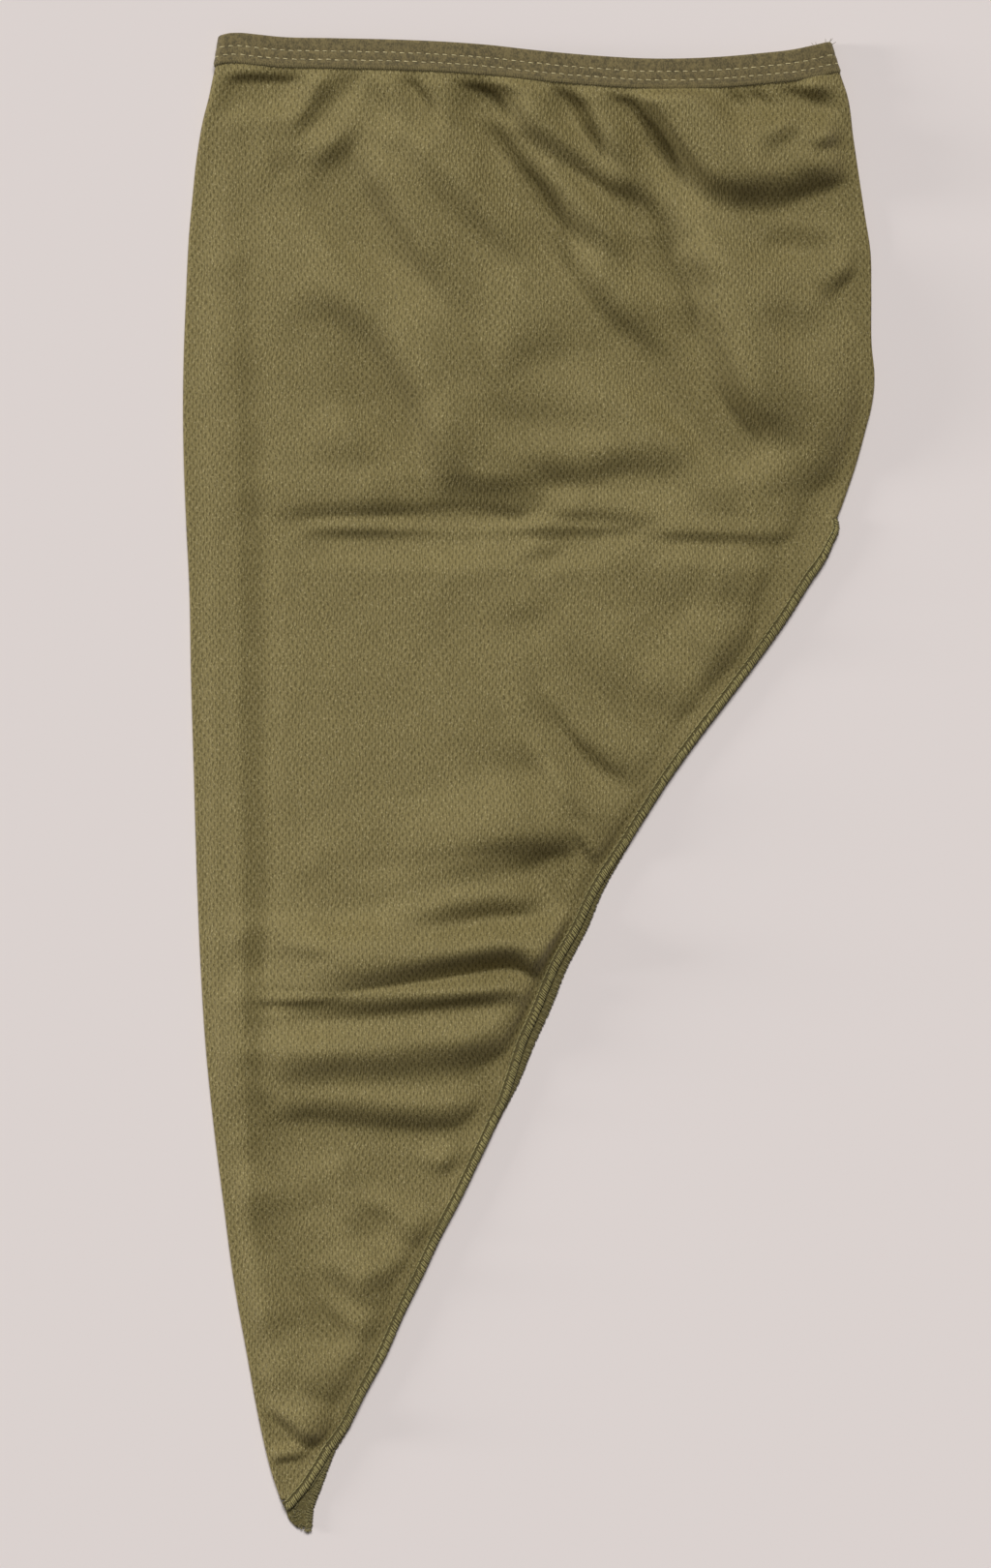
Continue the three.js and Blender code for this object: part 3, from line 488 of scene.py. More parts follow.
def edge_rise(away):
    """The same from a sewn edge, where the cloth rises at once."""
    roll = 1 - (1 - np.clip(away / EDGE_ROLL, 0, 1)) ** 2
    return EDGE_ROLL_SHARE * roll + (1 - EDGE_ROLL_SHARE) * ease(away / SIDE_RAMP)


def lower_layer_z(from_right, below, y):
    """Height of the lower layer's middle."""
    flat = mix(CLOTH_THICKNESS / 2, BAND_FACE, band_share(below))
    near = rim_share(y) * (1 - ease((from_right - HEM_WIDTH - 1) / 12))
    return mix(flat, LOWER_RIM_HEIGHT, np.maximum(near, tip_share(y)))


class Section:
    """The tube's cross section at one row, which lies level millimetres below the top edge."""

    def __init__(self, level):
        self.level = level
        self.y = float(self.y_at(RIGHT_READING_X))
        self.band = float(band_share(level))
        self.open = self.y < SEAM_END_Y - 0.01
        rim_radius = (RIM_HEIGHT - LOWER_RIM_HEIGHT) / 2
        side_radius = mix(FOLD_RADIUS, BAND_FOLD_RADIUS, self.band)
        self.radius = mix(side_radius, rim_radius, float(tip_share(self.y)))
        self.seam_radius = mix(self.radius, rim_radius, float(rim_share(self.y)) * (1 - self.band))
        self.lower_slope = float(edge_slope(lower_right_edge, self.y))
        self.upper_slope = float(edge_slope(upper_right_edge, self.y))
        inset = mix(CLOTH_THICKNESS / 2, BAND_FACE, self.band)
        self.left = float(left_edge(float(self.y_at(LEFT_READING_X)))) + inset + self.radius
        if self.open:
            self.lower_right = float(lower_right_edge(self.y)) - HEM_INSET * self.lower_slope
            self.upper_right = float(upper_right_edge(self.y)) - HEM_INSET * self.upper_slope
        else:
            self.lower_right = float(lower_right_edge(self.y)) - inset - self.seam_radius
            self.upper_right = self.lower_right
        self.width = self.upper_right - self.left

    def y_at(self, x):
        """The row follows the band's curve and straightens below it."""
        follows = 1 - ease((self.level - BAND_ZONE) / SAG_FADE)
        return TOP_Y - self.level + (band_top(x) - TOP_Y) * follows

    def lower_z(self, x):
        return lower_layer_z((self.lower_right - x) / self.lower_slope, self.level, self.y)

    def turn(self, x, radius, sixths, side):
        """Points of the folded side at x. sixths are parts of its half turn, counted from below."""
        low = float(self.lower_z(x))
        angles = [math.pi * k / 6 for k in sixths]
        return [(x + side * radius * math.sin(a), low + radius * (1 - math.cos(a))) for a in angles]

    def lower_layer(self):
        """X and Z of the lower layer, from right to left."""
        count = max(2, round((self.lower_right - self.left) / LOWER_COLUMN_PITCH) + 1)
        x = mix(self.lower_right, self.left, np.arange(count + 1) / count)
        return x, self.lower_z(x)

    def upper_layer(self):
        """X and Z of the upper layer without its folds, from left to right."""
        x = np.linspace(self.left, self.upper_right, max(4, round(self.width / COLUMN_PITCH)) + 1)
        left_z = float(self.lower_z(self.left)) + 2 * self.radius
        right_z = float(self.lower_z(self.lower_right)) + 2 * self.seam_radius
        ground = mix(left_z, right_z, ease((x - self.left - 4) / max(8, self.width - 12)))
        place = self.y_at(x) + (TOP_Y - band_top(x)) * self.band
        lift = np.maximum(0, upper_layer_height(place) - ground)
        near_band = ease((place - BAND_SIDES_Y) / BAND_SIDES_FADE)
        roll_share = mix(ROLL_SHARE, UPPER_ROLL_SHARE, near_band)
        ramp = mix(SIDE_RAMP, UPPER_SIDE_RAMP, near_band)
        from_hem = (self.upper_right - x) / self.upper_slope - HEM_WIDTH
        return x, ground + lift * side_rise(x - self.left, roll_share, ramp) * edge_rise(from_hem)

    def fold_share(self, x):
        """Share of its folds that the upper layer shows: none under the band and at its sides."""
        from_right = (self.upper_right - x) / self.upper_slope
        if self.open:
            right = (from_right - HEM_WIDTH) / min(4.0, self.width / 8)
        else:
            right = from_right / 9
        left = (x - self.left) / min(9.0, max(2.5, self.width / 6))
        return ease((self.level - BAND_HEIGHT) / 5.5) * ease(left) * ease(right)


def cross_row(level):
    """Points around the tube at one row, each with its place t around it.

    t runs from 0 to 1 along the lower layer, to 2 up the left side and to 3 along the upper layer.
    """
    section = Section(level)
    low_x, low_z = section.lower_layer()
    x, z = section.upper_layer()
    runs = [
        (zip(low_x, low_z), np.arange(len(low_x)) / (len(low_x) - 1)),
        (section.turn(section.left, section.radius, range(1, 6), -1), [1 + k / 6 for k in range(1, 6)]),
        (zip(x, z), 2 + np.arange(len(x)) / (len(x) - 1)),
    ]
    start = len(low_x) + 5
    if not section.open:
        right = (section.lower_right, section.seam_radius)
        runs.insert(0, (section.turn(*right, (3, 2, 1), 1), [-1 / 2, -1 / 3, -1 / 6]))
        runs.append((section.turn(*right, (5, 4), 1), [3 + 1 / 6, 3 + 1 / 3]))
        start += 3
    xs, zs = np.array([point for points, _ in runs for point in points]).T
    room = z - np.interp(x, low_x[::-1], low_z[::-1]) - CLOTH_THICKNESS - LAYER_GAP
    return {
        "open": section.open, "xyz": np.stack([xs, section.y_at(xs), zs], 1),
        "t": [float(t) for _, places in runs for t in places], "upper": slice(start, start + len(x)),
        "fold_share": section.fold_share(x), "room": np.maximum(room, 0.05),
    }


# Panel


def row_levels():
    """The cloth's rows, below the top edge. One lies right below the band and one at the seam's end."""
    levels, y = [], TOP_Y - FIRST_ROW
    while y > CLOTH_END_Y:
        levels.append(TOP_Y - y)
        y -= float(row_pitch(y))
    levels.append(TOP_Y - CLOTH_END_Y)
    fixed = [BAND_HEIGHT + 0.2, TOP_Y - 1.4 - SEAM_END_Y]
    return sorted([v for v in levels if min(abs(v - f) for f in fixed) > 0.4] + fixed)


def strips(rows):
    """Triangles between each row of points and the next."""
    faces = []
    for a, b in zip(rows, rows[1:]):
        i = j = 0
        last_a, last_b = len(a["ids"]) - 1, len(b["ids"]) - 1
        while i < last_a or j < last_b:
            next_a = a["t"][i + 1] if i < last_a else math.inf
            next_b = b["t"][j + 1] if j < last_b else math.inf
            if next_a <= next_b:
                faces.append((a["ids"][i], a["ids"][i + 1], b["ids"][j]))
                i += 1
            else:
                faces.append((a["ids"][i], b["ids"][j + 1], b["ids"][j]))
                j += 1
    return np.array(faces)


def cloth_surface():
    """Middle surface of the panel, with its folds."""
    rows = [cross_row(level) for level in row_levels()]
    start = 0
    for row in rows:
        ids = np.arange(start, start + len(row["xyz"]))
        row["upper_ids"] = ids[row["upper"]]
        row["ids"] = ids.tolist()
        start += len(ids)
        if not row["open"]:
            row["ids"].append(row["ids"][0])
            row["t"].append(3.5)
    points = np.vstack([row["xyz"] for row in rows])
    keys = ("upper_ids", "fold_share", "room")
    upper, share, room = (np.concatenate([row[key] for row in rows]) for key in keys)
    x, y = points[upper, 0], points[upper, 1]
    height = undulation(x, y)
    for lit, shade, path in FOLDS.values():
        height += fold_height(x, y, lit, shade, path)
    points[upper, 2] += held_between(height * share, room, HIGHEST_FOLD - points[upper, 2])
    return points, strips(rows)


def vertex_normals(points, faces):
    """Direction of the surface at each point."""
    a, b, c = (points[faces[:, k]] for k in range(3))
    n = np.cross(b - a, c - a)
    out = np.zeros_like(points)
    for k in range(3):
        np.add.at(out, faces[:, k], n)
    return out / np.maximum(np.linalg.norm(out, axis=1, keepdims=True), 1e-12)


def thicken(points, faces, thickness):
    """Closed cloth from its middle surface: two faces and a rim."""
    n = vertex_normals(points, faces)
    count = len(points)
    both = np.vstack([points + n * thickness / 2, points - n * thickness / 2])
    directed = {(a, b) for f in faces for a, b in ((f[0], f[1]), (f[1], f[2]), (f[2], f[0]))}
    rim = []
    for a, b in directed:
        if (b, a) not in directed:
            rim += [(b, a, a + count), (b, a + count, b + count)]
    return both, np.vstack([faces, faces[:, ::-1] + count, np.array(sorted(rim))]).tolist()


# Meshes and threads


def mesh_object(name, points, faces, material, smooth=True):
    """A mesh from points in millimetres."""
    mesh = bpy.data.meshes.new(name)
    mesh.from_pydata((np.asarray(points) * MM).tolist(), [], faces)
    mesh.validate()
    mesh.polygons.foreach_set("use_smooth", [smooth] * len(mesh.polygons))
    mesh.materials.append(material)
    mesh.update()
    o = bpy.data.objects.new(name, mesh)
    bpy.context.scene.collection.objects.link(o)
    return o


def sweep(path, radius, sides=5):
    """Tube of thread along a path: points and faces."""
    p = np.asarray(path, float)
    along = np.gradient(p, axis=0)
    along /= np.maximum(np.linalg.norm(along, axis=1, keepdims=True), 1e-9)
    up = np.tile([0.0, 0.0, 1.0], (len(p), 1))
    up[np.abs(along[:, 2]) > 0.9] = [1.0, 0.0, 0.0]
    side = np.cross(along, up)
    side /= np.linalg.norm(side, axis=1, keepdims=True)
    up = np.cross(side, along)
    radii = np.broadcast_to(radius, len(p))[:, None]
    angles = [2 * math.pi * k / sides for k in range(sides)]
    ring = [p + (side * math.cos(a) + up * math.sin(a)) * radii for a in angles]
    faces = []
    for i in range(len(p) - 1):
        for k in range(sides):
            m = (k + 1) % sides
            faces.append((i * sides + k, i * sides + m, (i + 1) * sides + m, (i + 1) * sides + k))
    faces.append(tuple(range(sides))[::-1])
    faces.append(tuple((len(p) - 1) * sides + k for k in range(sides)))
    return np.stack(ring, 1).reshape(-1, 3), faces


def quads(sections, count, around):
    """Faces between neighbouring sections of count points each. around joins the last to the first."""
    faces = []
    for i in range(sections if around else sections - 1):
        m = (i + 1) % sections
        for k in range(count):
            q = (k + 1) % count
            faces.append((i * count + k, m * count + k, m * count + q, i * count + q))
    return faces


def joined(parts):
    """Several point and face lists as one."""
    points, faces, start = [], [], 0
    for p, f in parts:
        points.append(p)
        faces += [tuple(i + start for i in face) for face in f]
        start += len(p)
    return np.vstack(points), faces


# Materials


class Nodes:
    """Short calls for building a material's node tree."""

    def __init__(self, name):
        self.material = bpy.data.materials.new(name)
        self.material.use_nodes = True
        self.tree = self.material.node_tree
        self.shader = self.tree.nodes["Principled BSDF"]

    def put(self, socket, value):
        if isinstance(value, bpy.types.NodeSocket):
            self.tree.links.new(value, socket)
        elif value is not None:
            socket.default_value = value

    def set(self, **values):
        """Values of the shader's sockets, with _ for a space in a name."""
        for name, value in values.items():
            self.put(self.shader.inputs[name.replace("_", " ")], value)

    def place(self, along=1.0):
        """Place on the object in millimetres, with Y scaled by along."""
        n = self.tree.nodes.new("ShaderNodeVectorMath")
        n.operation = "MULTIPLY"
        self.put(n.inputs[0], self.tree.nodes.new("ShaderNodeTexCoord").outputs["Object"])
        self.put(n.inputs[1], (1000.0, 1000.0 * along, 1000.0))
        return n.outputs[0]

    def split(self, vector):
        n = self.tree.nodes.new("ShaderNodeSeparateXYZ")
        self.put(n.inputs[0], vector)
        return n.outputs

    def math(self, operation, a, b=None):
        n = self.tree.nodes.new("ShaderNodeMath")
        n.operation = operation
        for socket, value in zip(n.inputs, (a, b)):
            self.put(socket, value)
        return n.outputs[0]

    def weighted(self, a, share_a, b, share_b):
        return self.math("ADD", self.math("MULTIPLY", a, share_a), self.math("MULTIPLY", b, share_b))

    def noise(self, vector, scale, detail=2.0):
        n = self.tree.nodes.new("ShaderNodeTexNoise")
        self.put(n.inputs["Vector"], vector)
        n.inputs["Scale"].default_value = scale
        n.inputs["Detail"].default_value = detail
        return n.outputs["Fac"]

    def colour_mix(self, share, a, b):
        n = self.tree.nodes.new("ShaderNodeMix")
        n.data_type = "RGBA"
        self.put(n.inputs["Factor"], share)
        self.put(n.inputs[6], a)
        self.put(n.inputs[7], b)
        return n.outputs[2]

    def range(self, value, low, high, to_low, to_high):
        n = self.tree.nodes.new("ShaderNodeMapRange")
        n.interpolation_type = "SMOOTHSTEP"
        for socket, v in zip(n.inputs, (value, low, high, to_low, to_high)):
            self.put(socket, v)
        return n.outputs[0]

    def relief(self, height, distance):
        n = self.tree.nodes.new("ShaderNodeBump")
        n.inputs["Strength"].default_value = 1.0
        n.inputs["Distance"].default_value = distance * MM
        self.put(n.inputs["Height"], height)
        self.set(Normal=n.outputs[0])


def rgb(*values):
    """Linear colour of an sRGB value from 0 to 255."""
    linear = [((v / 255 + 0.055) / 1.055) ** 2.4 if v > 10 else v / 255 / 12.92 for v in values]
    return (*linear, 1.0)


def slots(n, u, v, ragged, shift):
    """One of the two sets of slots of the mesh's brick pattern: 1 in the middle of a slot, 0 outside."""

    def from_middle(place, pitch, half_size):
        cell = n.math("FRACT", n.math("ADD", n.math("DIVIDE", place, pitch), shift))
        away = n.math("MULTIPLY", n.math("SUBTRACT", cell, 0.5), pitch / half_size)
        return n.math("MULTIPLY", away, away)

    across = from_middle(u, HOLE_ACROSS, SLOT_HALF_WIDTH)
    along = from_middle(v, HOLE_ALONG, SLOT_HALF_LENGTH)
    return n.range(n.math("ADD", n.math("ADD", across, along), ragged), 0.1, 1.5, 1.0, 0.0)


def knit_cloth():
    """Mesh knit: upright columns of loops, broken by rows of small slots set in a brick pattern. Its colour
    holds painted shade in the slots and between the yarns, and painted glints on the raised yarn.
    """
    n = Nodes("mesh_cloth")
    place = n.place()
    x, y, _ = n.split(place)
    u = n.math("ADD", x, n.math("MULTIPLY", n.noise(place, 0.09), 4.0))
    v = n.math("ADD", y, n.math("MULTIPLY", n.noise(place, 0.13), 3.0))
    ragged = n.math("MULTIPLY", n.math("SUBTRACT", n.noise(place, 1.1), 0.5), 0.9)
    slot = n.math("MAXIMUM", slots(n, u, v, ragged, 0.0), slots(n, u, v, ragged, 0.5))
    wale = n.math("COSINE", n.math("MULTIPLY", u, 2 * math.pi / WALE))
    grain = n.noise(n.place(along=0.56), 2.5)
    loops = n.weighted(wale, 0.6, grain, 1.4)
    n.relief(n.math("SUBTRACT", loops, n.math("MULTIPLY", slot, 1.1)), 0.16)
    # Painted shade: the slots are coloured dark for the shade seen through the holes
    base = n.colour_mix(n.math("MULTIPLY", slot, 0.68), rgb(122, 110, 69), rgb(58, 50, 24))
    # Painted shade: darker where the grain is low, in the hollows between the yarns
    base = n.colour_mix(n.range(grain, 0.34, 0.5, 0.4, 0.0), base, rgb(60, 52, 26))
    # Painted highlight: pale glints where the grain is high, on the raised yarn
    base = n.colour_mix(n.range(grain, 0.56, 0.74, 0.0, 0.55), base, rgb(180, 168, 128))
    n.set(Base_Color=base, Roughness=0.62, Specular_IOR_Level=0.6, Specular_Tint=(1.0, 0.86, 0.5, 1.0))
    return n.material


def plain_cloth(name, colour, roughness, grain_scale=1.4, relief=0.08):
    """Thread or cloth of one colour with a fine grain."""
    n = Nodes(name)
    grain = n.noise(n.place(), grain_scale)
    n.relief(grain, relief)
    dark, light = ([min(1.0, c * share) for c in colour[:3]] + [1.0] for share in (0.75, 1.25))
    n.set(Base_Color=n.colour_mix(n.range(grain, 0.3, 0.7, 0.0, 1.0), dark, light))
    n.set(Roughness=roughness, Sheen_Weight=0.1, Specular_IOR_Level=0.25)
    return n.material


def ribbed_cloth():
    """Matte, mottled elastic with a fine upright rib."""
    n = Nodes("band_cloth")
    place = n.place(along=0.7)
    grain = n.noise(place, 1.9, 3.0)
    mottle = n.noise(place, 0.6)
    rib = n.math("COSINE", n.math("MULTIPLY", n.split(place)[0], 2 * math.pi / FRINGE_PITCH))
    n.relief(n.weighted(rib, 0.2, grain, 1.6), 0.1)
    shade = n.range(n.weighted(grain, 0.6, mottle, 0.4), 0.36, 0.64, 0.0, 1.0)
    n.set(Base_Color=n.colour_mix(shade, rgb(80, 70, 42), rgb(119, 105, 66)))
    n.set(Roughness=0.85, Sheen_Weight=0.1)
    return n.material


mesh_cloth = knit_cloth()
band_cloth = ribbed_cloth()
stitch_thread = plain_cloth("stitch_thread", rgb(186, 173, 130), 0.6)
fringe_thread = plain_cloth("fringe_thread", rgb(124, 112, 74), 0.8)
upper_thread = plain_cloth("upper_edge_thread", rgb(142, 132, 84), 0.7)
lower_thread = plain_cloth("lower_edge_thread", rgb(118, 109, 70), 0.7)
# Cloth colour darkened as painted shade in the gaps between the back edge's loops
back_edge_body_painted_shade = plain_cloth("back_edge_body_painted_shade", rgb(92, 83, 48), 0.85, 1.1, 0.3)
# Cloth colour darkened as painted shade of the groove between the loops and under the bead
edge_body_painted_shade = plain_cloth("edge_body_painted_shade", rgb(88, 79, 46), 0.8)


# Band


def band_ring():
    """The band's course around the scarf: places, outward directions and lengths at each section."""
    upper, lower = cross_row(FIRST_ROW), cross_row(LAST_BAND_ROW)
    top, low = upper["xyz"], lower["xyz"]
    rows = np.stack([
        top[:, 0], top[:, 1] + FIRST_ROW, top[:, 2],
        np.interp(upper["t"], lower["t"], low[:, 0]), np.interp(upper["t"], lower["t"], low[:, 2])], 1)
    rows = np.vstack([rows, rows[:1]])
    step = np.diff(rows[:, [0, 2]], axis=0)
    length = np.linalg.norm(step, axis=1)
    step /= length[:, None]
    turn = step + np.roll(step, 1, axis=0)
    turn /= np.linalg.norm(turn, axis=1, keepdims=True)
    out = np.stack([-turn[:, 1], turn[:, 0]], 1)
    return {"rows": rows, "out": np.vstack([out, out[:1]]), "at": np.concatenate([[0], np.cumsum(length)])}


def on_band(ring, at, down, offset):
    """Point of the band: place around it, distance below the top edge and distance out from the cloth."""
    at = np.mod(at, ring["at"][-1])
    x, y, z, low_x, low_z = (np.interp(at, ring["at"], ring["rows"][:, k]) for k in range(5))
    out_x, out_z = (np.interp(at, ring["at"], ring["out"][:, k]) for k in range(2))
    s = (down - FIRST_ROW) / (LAST_BAND_ROW - FIRST_ROW)
    return np.stack([mix(x, low_x, s) + out_x * offset, y - down, mix(z, low_z, s) + out_z * offset], -1)


def band_face(down):
    """How far the band's outer face stands out from the cloth's middle: two seams are drawn in."""
    drawn_in = sum(0.16 * np.exp(-((down - row) / 0.5) ** 2) for row in STITCH_ROWS)
    return BAND_FACE - drawn_in - 0.3 * ease((down - BAND_HEIGHT + 0.9) / 0.9)


def band_piece(ring):
    """Folded binding: one section, carried around the cloth's top edge."""
    inner = CLOTH_THICKNESS / 2 + SEWN_GAP
    section = [(float(band_face(down)), down) for down in BAND_FRONT]
    section += [(BAND_FACE - inset, down) for inset, down in BAND_TURN] + [(0, 0)]
    section += [(inset - BAND_FACE, down) for inset, down in BAND_TURN[::-1]]
    section += [(-float(band_face(down)), down) for down in BAND_BACK]
    section += [(-inner, BAND_HEIGHT), (-inner, 1.0), (inner, 1.0), (inner, BAND_HEIGHT)]
    places = ring["at"][:-1]
    rows = [on_band(ring, places, np.full_like(places, down), offset) for offset, down in section]
    return np.stack(rows, 1).reshape(-1, 3), quads(len(places), len(section), around=True)


def band_stitches(ring):
    """Two rows of stitches right around the band."""
    parts = []
    count = round(ring["at"][-1] / STITCH_PITCH)
    s = np.linspace(0, 1, 6)
    for row, shift in zip(STITCH_ROWS, (0.0, 0.5)):
        for k in range(count):
            start = (k + shift) * ring["at"][-1] / count + random.normal(0, 0.08)
            lift = 0.24 * np.sin(math.pi * s) ** 0.5 - 0.1 + random.normal(0, 0.03)
            down = row + random.normal(0, 0.05) + 0.12 * s
            line = on_band(ring, start + s * STITCH_LENGTH, down, band_face(down) + lift)
            line[:, 2] = np.maximum(line[:, 2], STITCH_RADIUS)
            parts.append(sweep(line, STITCH_RADIUS))
    return joined(parts)


def band_fringe(ring):
    """Short threads of the binding's cut edge."""
    parts = []
    for start in np.arange(0, ring["at"][-1] - 0.3, FRINGE_PITCH):
        reach = 0.3 + 0.35 * random.random()
        down = BAND_HEIGHT + np.array([-1.2, -0.6, -0.1, reach])
        offset = np.array([BAND_FACE - 0.1, BAND_FACE - 0.12, BAND_FACE - 0.34, 0.46])
        lean = random.normal(0, 0.12)
        line = on_band(ring, start + lean * np.array([0, 0.3, 0.6, 1.0]), down, offset)
        parts.append(sweep(line, 0.16, sides=4))
    return joined(parts)


def frayed_ends():
    """Loose thread ends at the band's right corner."""
    parts = []
    s = np.linspace(0, 1, 6)
    for x, y, angle, length in FRAYED_ENDS:
        bend = math.radians(angle) + 0.6 * s * random.normal(0, 1)
        line = np.stack([x + length * s * np.cos(bend), y + length * s * np.sin(bend), 3.1 + 0.5 * s], 1)
        parts.append(sweep(line, 0.11 - 0.05 * s, sides=4))
    return joined(parts)


# Overlocked edges


def edge_path(edge, height, end_y, tail=()):
    """Evenly spaced points along a slanted edge, and the way in from each."""
    y = np.linspace(HEM_START_Y, end_y, 700)
    line = np.stack([edge(y), y, np.full_like(y, height)], 1)
    line = np.vstack([line, np.array(tail, float).reshape(-1, 3)])
    length = np.concatenate([[0], np.cumsum(np.linalg.norm(np.diff(line, axis=0), axis=1))])
    at = np.arange(0, length[-1], EDGE_STEP)
    line = np.stack([np.interp(at, length, line[:, k]) for k in range(3)], 1)
    along = np.gradient(line, axis=0)
    along[:, 2] = 0
    along /= np.linalg.norm(along, axis=1, keepdims=True)
    inward = np.stack([along[:, 1], -along[:, 0], np.zeros(len(line))], 1)
    return {"line": line, "inward": inward, "length": at[-1]}


def on_edge(path, along, depth, z):
    """Points beside an edge: along it, in from it and up from its middle."""
    i = np.clip(np.asarray(along, float) / EDGE_STEP, 0, len(path["line"]) - 1.001)
    k = i.astype(int)
    f = (i - k)[..., None]
    points = mix(path["line"][k], path["line"][k + 1], f) + path["inward"][k] * np.asarray(depth)[..., None]
    points[..., 2] += z
    return points


def edge_body(path, width):
    """The turned and sewn edge, of a width given at each Y."""
    stations = np.arange(0, path["length"], 1.2)
    count = len(EDGE_PROFILE)
    wide = width(path["line"][(stations / EDGE_STEP).astype(int), 1])
    rows = [on_edge(path, stations, depth * wide, z) for depth, z in EDGE_PROFILE]
    faces = quads(len(stations), count, around=False)
    faces.append(tuple(range(count)))
    faces.append(tuple((len(stations) - 1) * count + k for k in range(count))[::-1])
    return np.stack(rows, 1).reshape(-1, 3), faces


def front_width(y):
    """The front edge grows to its full width below the seam's end."""
    return HEM_WIDTH * mix(0.55, 1.0, ease((HEM_START_Y - y) / 22))


def back_width(y):
    """The back edge is wider where the wrong side of the cloth shows beside the tip."""
    room = lower_right_edge(y) - left_edge(y) - mix(3.2, 0.5, ease((CLOTH_END_Y + 0.5 - y) / 1.5))
    width = np.minimum(np.maximum(HEM_WIDTH, lower_layer_shows(y) + 2.6), room)
    return width / edge_slope(lower_right_edge, y)


def width_share(path, along, width):
    """Width of an edge at a place, as a share of its full width."""
    return float(width(path["line"][int(along / EDGE_STEP), 1])) / HEM_WIDTH


def wraps(path, width, profile, pitch, slant, radius, jitter):
    """Loops of thread around an edge. profile is depth and height along one loop."""
    parts = []
    p = np.array(profile, float)
    share = np.linspace(0, 1, len(p))
    for start in np.arange(0.5, path["length"] - 1.5, pitch):
        shake = random.normal(0, jitter, 3)
        along = start + shake[0] + slant * share
        narrow = min(1.0, width_share(path, start, width))
        depth, z = p[:, 0] * narrow * (1 + 0.8 * shake[1]), p[:, 1] + 0.3 * shake[2]
        line = on_edge(path, along, depth, z)
        line[:, 2] = np.maximum(line[:, 2], radius)
        parts.append(sweep(line, radius))
    return joined(parts)


def running_stitches(path, depth, z, pitch, length, radius):
    """A row of stitches beside an edge."""
    parts = []
    s = np.linspace(0, 1, 6)
    for start in np.arange(0.6, path["length"] - 2.5, pitch):
        along = start + s * length + random.normal(0, 0.06)
        lift = z + 0.16 * np.sin(math.pi * s) - 0.06
        place = depth * width_share(path, start, front_width) + 0.12 * s
        parts.append(sweep(on_edge(path, along, place, lift), radius))
    return joined(parts)


def tip_threads():
    """Overlock thread ends bunched on the back layer at the tip, and one straight thread beside them."""
    parts = []
    s = np.linspace(-0.5, 0.5, 5)
    for _ in range(TIP_THREAD_COUNT):
        y = -263 + 38 * random.random() ** 1.3
        right = float(lower_right_edge(y)) - 0.4
        left = max(right - float(lower_layer_shows(y)) + 0.4, float(left_edge(y)) + 0.6)
        x = mix(left, max(left, right), random.random())
        turn, length = random.uniform(0, math.pi), random.uniform(0.7, 1.6)
        line = np.stack([x + length * s * math.cos(turn), y + length * s * math.sin(turn),
                         LOWER_RIM_HEIGHT + 0.78 - 1.6 * s * s], 1)
        parts.append(sweep(line, 0.17, sides=4))
    start, end = np.array(TIP_THREAD)
    parts.append(sweep(mix(start, end, np.linspace(0, 1, 12)[:, None]), 0.22))
    return joined(parts)


# Pieces
points, faces = cloth_surface()
panel = mesh_object("panel_cloth", *thicken(points, faces, CLOTH_THICKNESS), mesh_cloth)
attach(panel, "root")
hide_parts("panel")

ring = band_ring()
band = mesh_object("band", *band_piece(ring), band_cloth)
stitches = mesh_object("band_stitches", *band_stitches(ring), stitch_thread)
fringe = mesh_object("band_fringe", *band_fringe(ring), fringe_thread)
frayed = mesh_object("band_frayed_ends", *frayed_ends(), band_cloth)
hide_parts("top_band")
for piece in (band, stitches, fringe, frayed):
    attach(piece, "root")

front_path = edge_path(upper_right_edge, RIM_HEIGHT, -254.5, [(-85.5, -256.0, 1.9)])
back_path = edge_path(lower_right_edge, LOWER_RIM_HEIGHT, -263.0)
# Both edge bodies carry painted shade in their dark colour
front_edge = mesh_object("front_edge_cloth", *edge_body(front_path, front_width), edge_body_painted_shade)
back_edge = mesh_object("back_edge_body_painted_shade", *edge_body(back_path, back_width), back_edge_body_painted_shade)
loops = wraps(front_path, front_width, FRONT_LOOP, pitch=0.74, slant=1.5, radius=0.25, jitter=0.14)
front_loops = mesh_object("front_edge_loops", *loops, upper_thread)
loops = wraps(back_path, back_width, BACK_LOOP, pitch=1.0, slant=0.7, radius=0.22, jitter=0.25)
back_loops = mesh_object("back_edge_loops", *loops, lower_thread)
needle_line = running_stitches(front_path, depth=3.05, z=0.52, pitch=2.2, length=2.1, radius=0.22)
front_line = mesh_object("front_edge_needle_line", *needle_line, upper_thread)
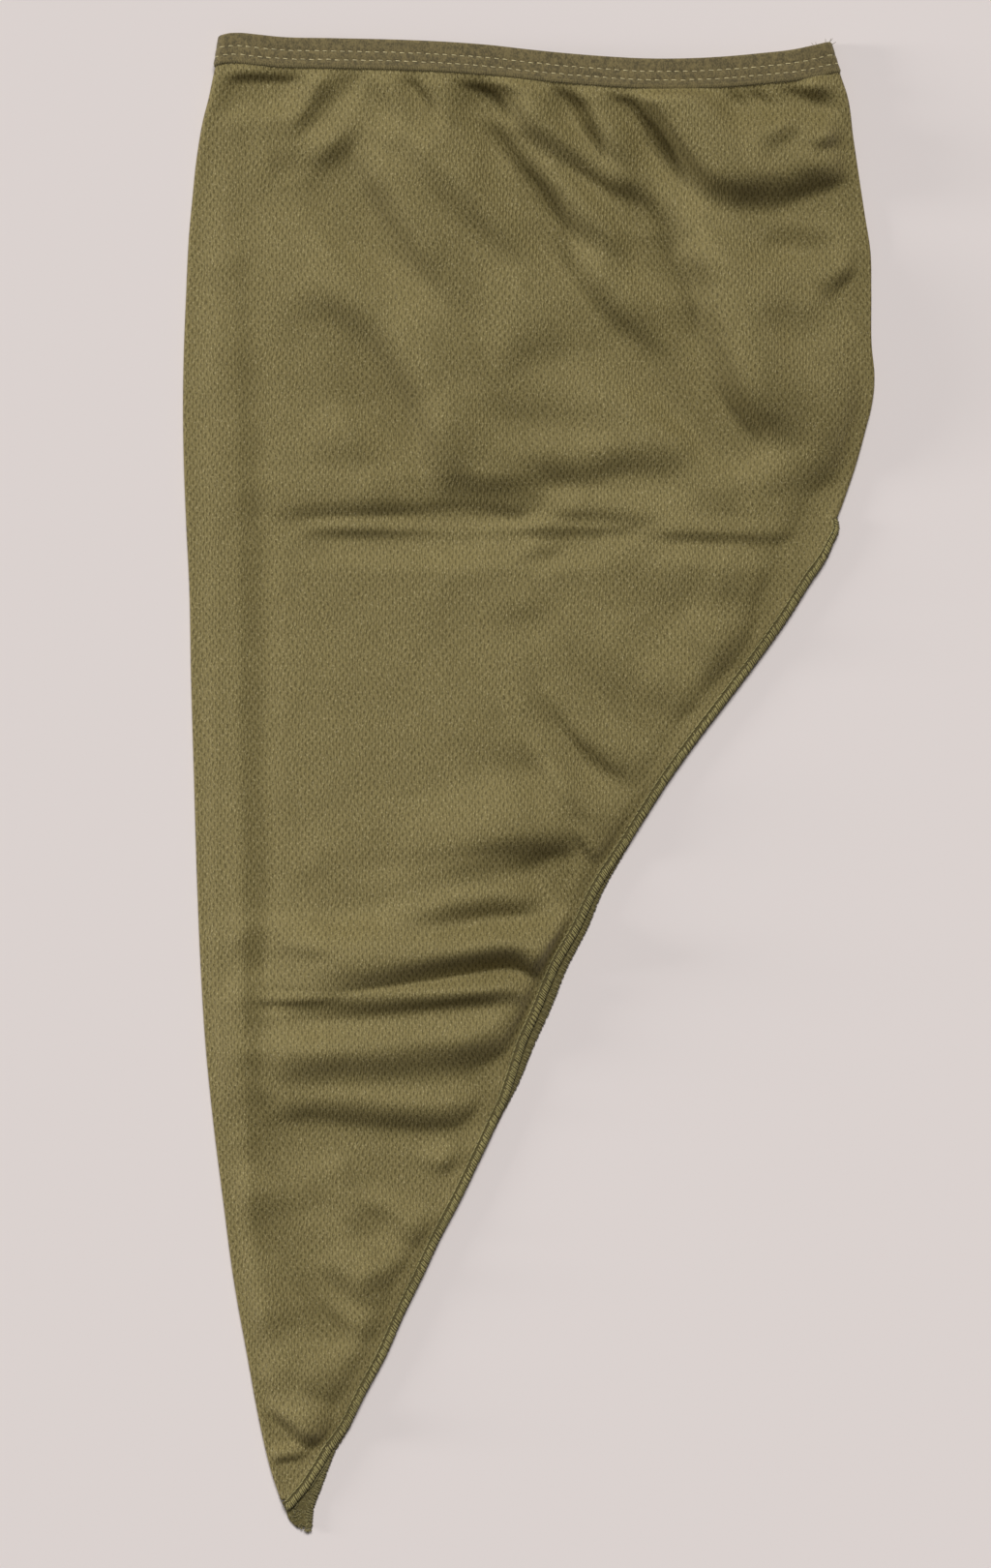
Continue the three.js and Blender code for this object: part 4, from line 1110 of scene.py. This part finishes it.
tip_ends = mesh_object("tip_threads", *tip_threads(), lower_thread)
for piece, node in ((front_edge, "hem_front"), (back_edge, "hem_back")):
    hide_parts(node)
for piece, slot in ((front_edge, "upper_edge_thread"), (back_edge, "lower_edge_thread"),
                    (front_loops, "upper_edge_thread"), (back_loops, "lower_edge_thread"),
                    (front_line, "upper_edge_thread"), (tip_ends, "lower_edge_thread")):
    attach(piece, "root")


# Floor, light and camera


def plain_floor():
    """A wide pale surface."""
    n = Nodes("floor")
    n.set(Base_Color=rgb(223, 214, 211), Roughness=0.9)
    corners = [(-1, -1, 0), (1, -1, 0), (1, 1, 0), (-1, 1, 0)]
    return mesh_object("floor", np.array(corners) * FLOOR_REACH, [(0, 1, 2, 3)], n.material, smooth=False)


def surround(colour, strength):
    """An even light from all sides."""
    world = bpy.data.worlds.new("studio")
    bpy.context.scene.world = world
    world.use_nodes = True
    background = world.node_tree.nodes["Background"]
    background.inputs["Color"].default_value = colour
    background.inputs["Strength"].default_value = strength


def soft_light(name, direction, energy, spread):
    """A distant light of a wide angle that shines from a direction."""
    data = bpy.data.lights.new(name, "SUN")
    data.energy, data.angle = energy, math.radians(spread)
    light = bpy.data.objects.new(name, data)
    light.rotation_euler = Vector(direction).to_track_quat("Z", "Y").to_euler()
    bpy.context.scene.collection.objects.link(light)


def camera_above():
    """A camera that looks straight down on the scarf from far away, with a long lens."""
    data = bpy.data.cameras.new("camera")
    data.lens, data.sensor_width = LENS, SENSOR
    camera = bpy.data.objects.new("camera", data)
    distance = VIEW_HEIGHT * LENS / SENSOR
    camera.location = (VIEW_CENTRE[0] * MM, VIEW_CENTRE[1] * MM, (distance + FOCUS_HEIGHT) * MM)
    bpy.context.scene.collection.objects.link(camera)
    bpy.context.scene.camera = camera


floor = plain_floor()
surround((1.0, 0.985, 0.98, 1.0), 0.12)
soft_light("key", (0.05, 0.9, 1.22), 2.92, 28)
soft_light("left_fill", (-1.0, 0.05, 0.17), 1.6, 12)
bpy.context.scene.view_settings.view_transform = "Standard"
camera_above()
